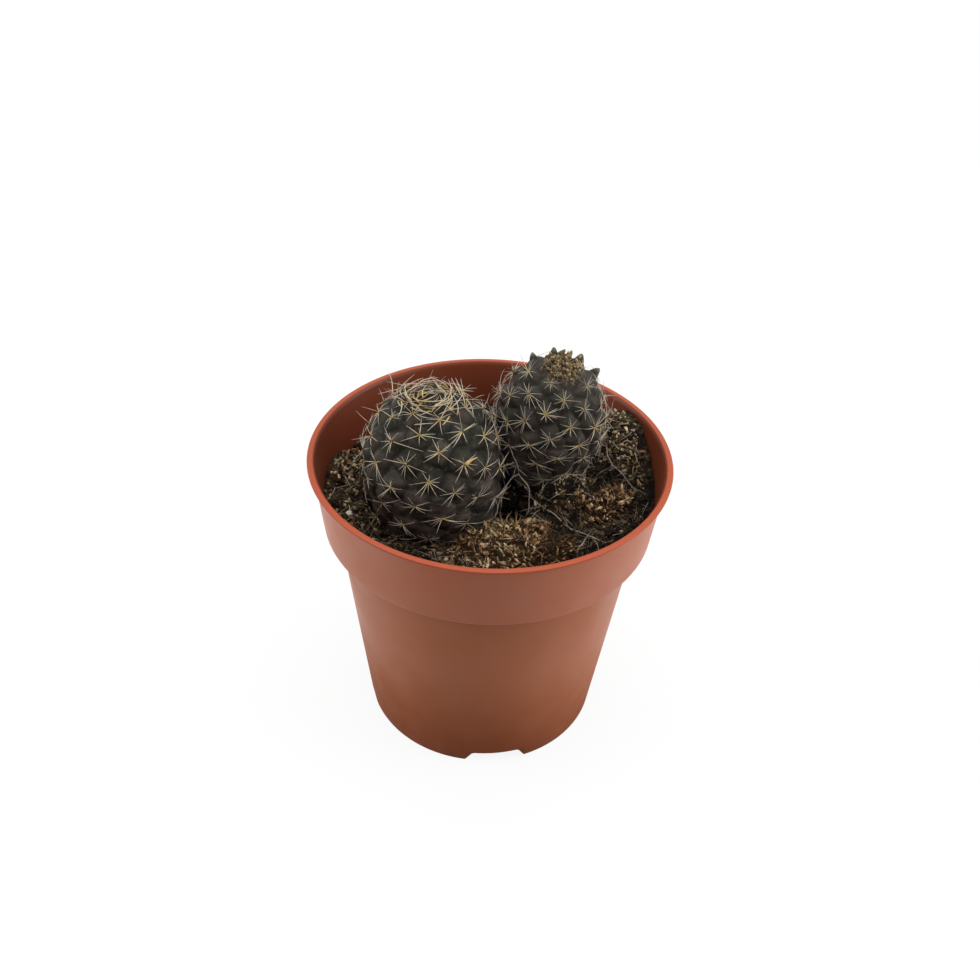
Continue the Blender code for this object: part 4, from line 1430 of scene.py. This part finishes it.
# ---------------------------------------------------------------- loose bits
# Name, CAD node, radius in mm, tint, whether it rests on the mix, and its path in mm with heights from the rim
LOOSE_STRANDS = (
    ("root_fibre_strand", "root_fibre", 0.125, 0.95, True, (
        (9.6, -5.2, -8.5), (13.3, -8.5, -10.6), (16.8, -11.5, -11.0),
        (19.9, -14.4, -11.1), (23.1, -15.9, -11.4), (25.7, -17.6, -11.8),
    )),
    ("straw_front_strand", "straw_front", 0.15, 0.95, True, (
        (20.2, -21.4, -11.6), (21.4, -19.8, -10.6), (22.3, -18.4, -9.6),
    )),
    ("straw_right_strand", "straw_right", 0.15, 0.80, True, (
        (27.8, 10.8, -3.4), (28.1, 7.9, -5.0), (29.2, 5.3, -6.0), (31.6, 3.1, -6.9), (34.2, -0.3, -8.2),
    )),
    ("arch_left", None, 0.17, 0.80, False, (
        (1.6, -9.8, -12.0), (2.1, -8.6, -11.0), (2.7, -6.6, -9.0),
        (3.7, -5.8, -6.0), (5.2, -4.5, -4.0), (6.8, -4.2, -3.0),
    )),
    ("arch_right", None, 0.17, 0.85, False, (
        (6.6, -4.2, -2.9), (8.5, -4.5, -5.0), (9.6, -5.1, -8.0), (9.5, -6.6, -11.0), (9.0, -7.6, -12.4),
    )),
    ("arch_top", None, 0.12, 0.75, False, (
        (6.8, -4.2, -3.0), (5.9, -3.7, 0.0), (4.9, -2.6, 2.0), (3.8, -2.0, 4.0),
    )),
    ("straw_branch", None, 0.10, 0.80, True, ((32.2, 1.6, -6.8), (31.1, 0.2, -8.4), (30.6, -0.8, -10.0))),
    ("hair_root", None, 0.08, 0.60, True, ((21.4, -5.2, -8.4), (21.5, -9.6, -9.8), (21.7, -13.8, -11.2))),
    ("hair_side", None, 0.08, 0.85, False, (
        (26.7, 17.0, 8.0), (27.5, 14.5, 3.0), (27.0, 11.3, -3.0), (26.1, 7.6, -7.0),
    )),
    ("root_end", None, 0.10, 0.70, True, ((23.1, -15.6, -11.2), (24.8, -18.6, -10.6), (25.2, -21.6, -11.4))),
)


def rod_along(name, path, radius, rests, seed, wobble=0.22):
    """A dry strand along a path in mm, height measured from the rim: a wavering, tapered curve made a mesh."""
    rng = random.Random(seed)
    points = [Vector(path[0])]
    for one, other in zip(path, path[1:]):
        one, other = Vector(one), Vector(other)
        points += [one.lerp(other, 0.5) + jitter(rng, wobble), other + jitter(rng, wobble * 0.5)]
    if rests:
        for point in points:
            point.z = max(point.z, (surface(point.x * MM, point.y * MM) - POT_HEIGHT) / MM + 0.5)
    curve = bpy.data.curves.new(name, "CURVE")
    curve.dimensions = "3D"
    spline = curve.splines.new("NURBS")
    spline.points.add(len(points) - 1)
    for i, point in enumerate(points):
        spline.points[i].co = (*(point * MM + UP * POT_HEIGHT), 1)
        spline.points[i].radius = rng.uniform(0.7, 1.15) * (0.45 if i in (0, len(points) - 1) else 1)
    spline.order_u = 3
    spline.use_endpoint_u = True
    spline.resolution_u = 5
    curve.bevel_depth = radius * MM
    curve.bevel_resolution = 2
    curve.use_fill_caps = True
    only(new_object(name, curve))
    bpy.ops.object.convert(target="MESH")
    return smoothed(bpy.context.object)


def make_loose_bits():
    for number, (name, node, radius, tint, rests, path) in enumerate(LOOSE_STRANDS):
        obj = rod_along(name, path, radius, rests, number)
        paint(obj, "tint", tint)
        place(obj, "dry_fibre", DRY, *([node] if node else []))

    low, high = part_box("perlite_grain")
    middle = (low + high) / 2
    ball = {"subdivisions": 4, "radius": 1, "location": middle}
    grain = added(bpy.ops.mesh.primitive_ico_sphere_add, scale=(high - low) / 2, **ball)
    grain.name = "perlite_bead"
    for vert in grain.data.vertices:
        vert.co += (vert.co - middle).normalized() * (0.3 - cell(vert.co / MM * 1.6)) * 0.35 * MM
    place(smoothed(grain), "perlite", perlite_finish(), "perlite_grain")

    chip = copy_of_node("bark_chip", "bark_flake", 5)
    for vert in chip.data.vertices:
        vert.co += vert.normal * noise.fractal(vert.co / MM * 2.5, 1.0, 2.0, 3) * 0.25 * MM
    paint(chip, "tint", 0.55)
    place(chip, "bark", DRY, "bark_chip")


# ---------------------------------------------------------------- build
make_stage()
SKINS = {
    "cactus_left": cactus_skin("cactus skin, left stem", 0.0),
    "cactus_right": cactus_skin("cactus skin, right stem", 0.17),
}
DRY, MOSS = dry_fibre(), moss_finish()
GROUND = ground_finder()
SPINES = [spine_blank(bend) for bend in (5, 18, 36)]
STRANDS = [spine_blank(bend, 0.022) for bend in (15, 50, 85)]
HAIR = spine_blank(38, 0.013)
CURLED = spine_blank(120, 0.030)
PEBBLES = [lump_blank(seed, (1.0, 0.75, flat), 1, 0.11) for seed, flat in ((1, 0.6), (2, 0.45), (3, 0.8), (4, 0.3))]
CLODS = [lump_blank(seed, (1.0, 0.8, 0.65), 2, 0.07) for seed in range(4)]
SPRIGS = [sprig_blank(seed) for seed in range(3)]
SHREDS = [shred_blank(seed, bend) for seed, bend in ((1, 20), (2, 55), (3, 95))]
BUDS = [bud_blank(seed) for seed in (1, 2, 3)]

make_pot()
left = make_stem("left_stem", LEFT_STEM, RIGHT_STEM, "cactus_left", flat_crown=0.20)
right = make_stem("right_stem", RIGHT_STEM, LEFT_STEM, "cactus_right", flat_crown=0.30)
left_spines = grow_spines(LEFT_STEM, left, 4.1 * MM, (8, 10), False, 0.45, seed=21)
left_spines += grow_nest(LEFT_STEM, arcs=50, golden=22, straight=12, seed=25)
right_spines = grow_spines(RIGHT_STEM, right, 3.75 * MM, (10, 12), True, 0.25, seed=22)
STRAW = spine_straw()
place(plant("left_spines", left_spines), "cactus_skin", STRAW)
place(plant("right_spines", right_spines), "cactus_skin", STRAW)
grow_buds("right_crown_tubercles", RIGHT_STEM, right, 130, 0.31, seed=26)
wool = grow_wool(left, seed=23) + grow_wool(right, seed=24)
wool += fuzz(LEFT_STEM, 90, 0.28, seed=27) + fuzz(RIGHT_STEM, 260, 0.34, seed=28)
place(plant("areole_wool", wool), "cactus_skin", crown_wool())
make_mix()
scatter_crumbs(520, 6800, seed=11)
scatter_fibres(1500, seed=12)
grow_moss("moss_front", "moss_clump_front", 2000, 10 * MM, seed=31)
grow_moss("moss_right", "moss_clump_right", 450, 90 * MM, seed=32)
scatter_shreds(1200, seed=33)
make_loose_bits()
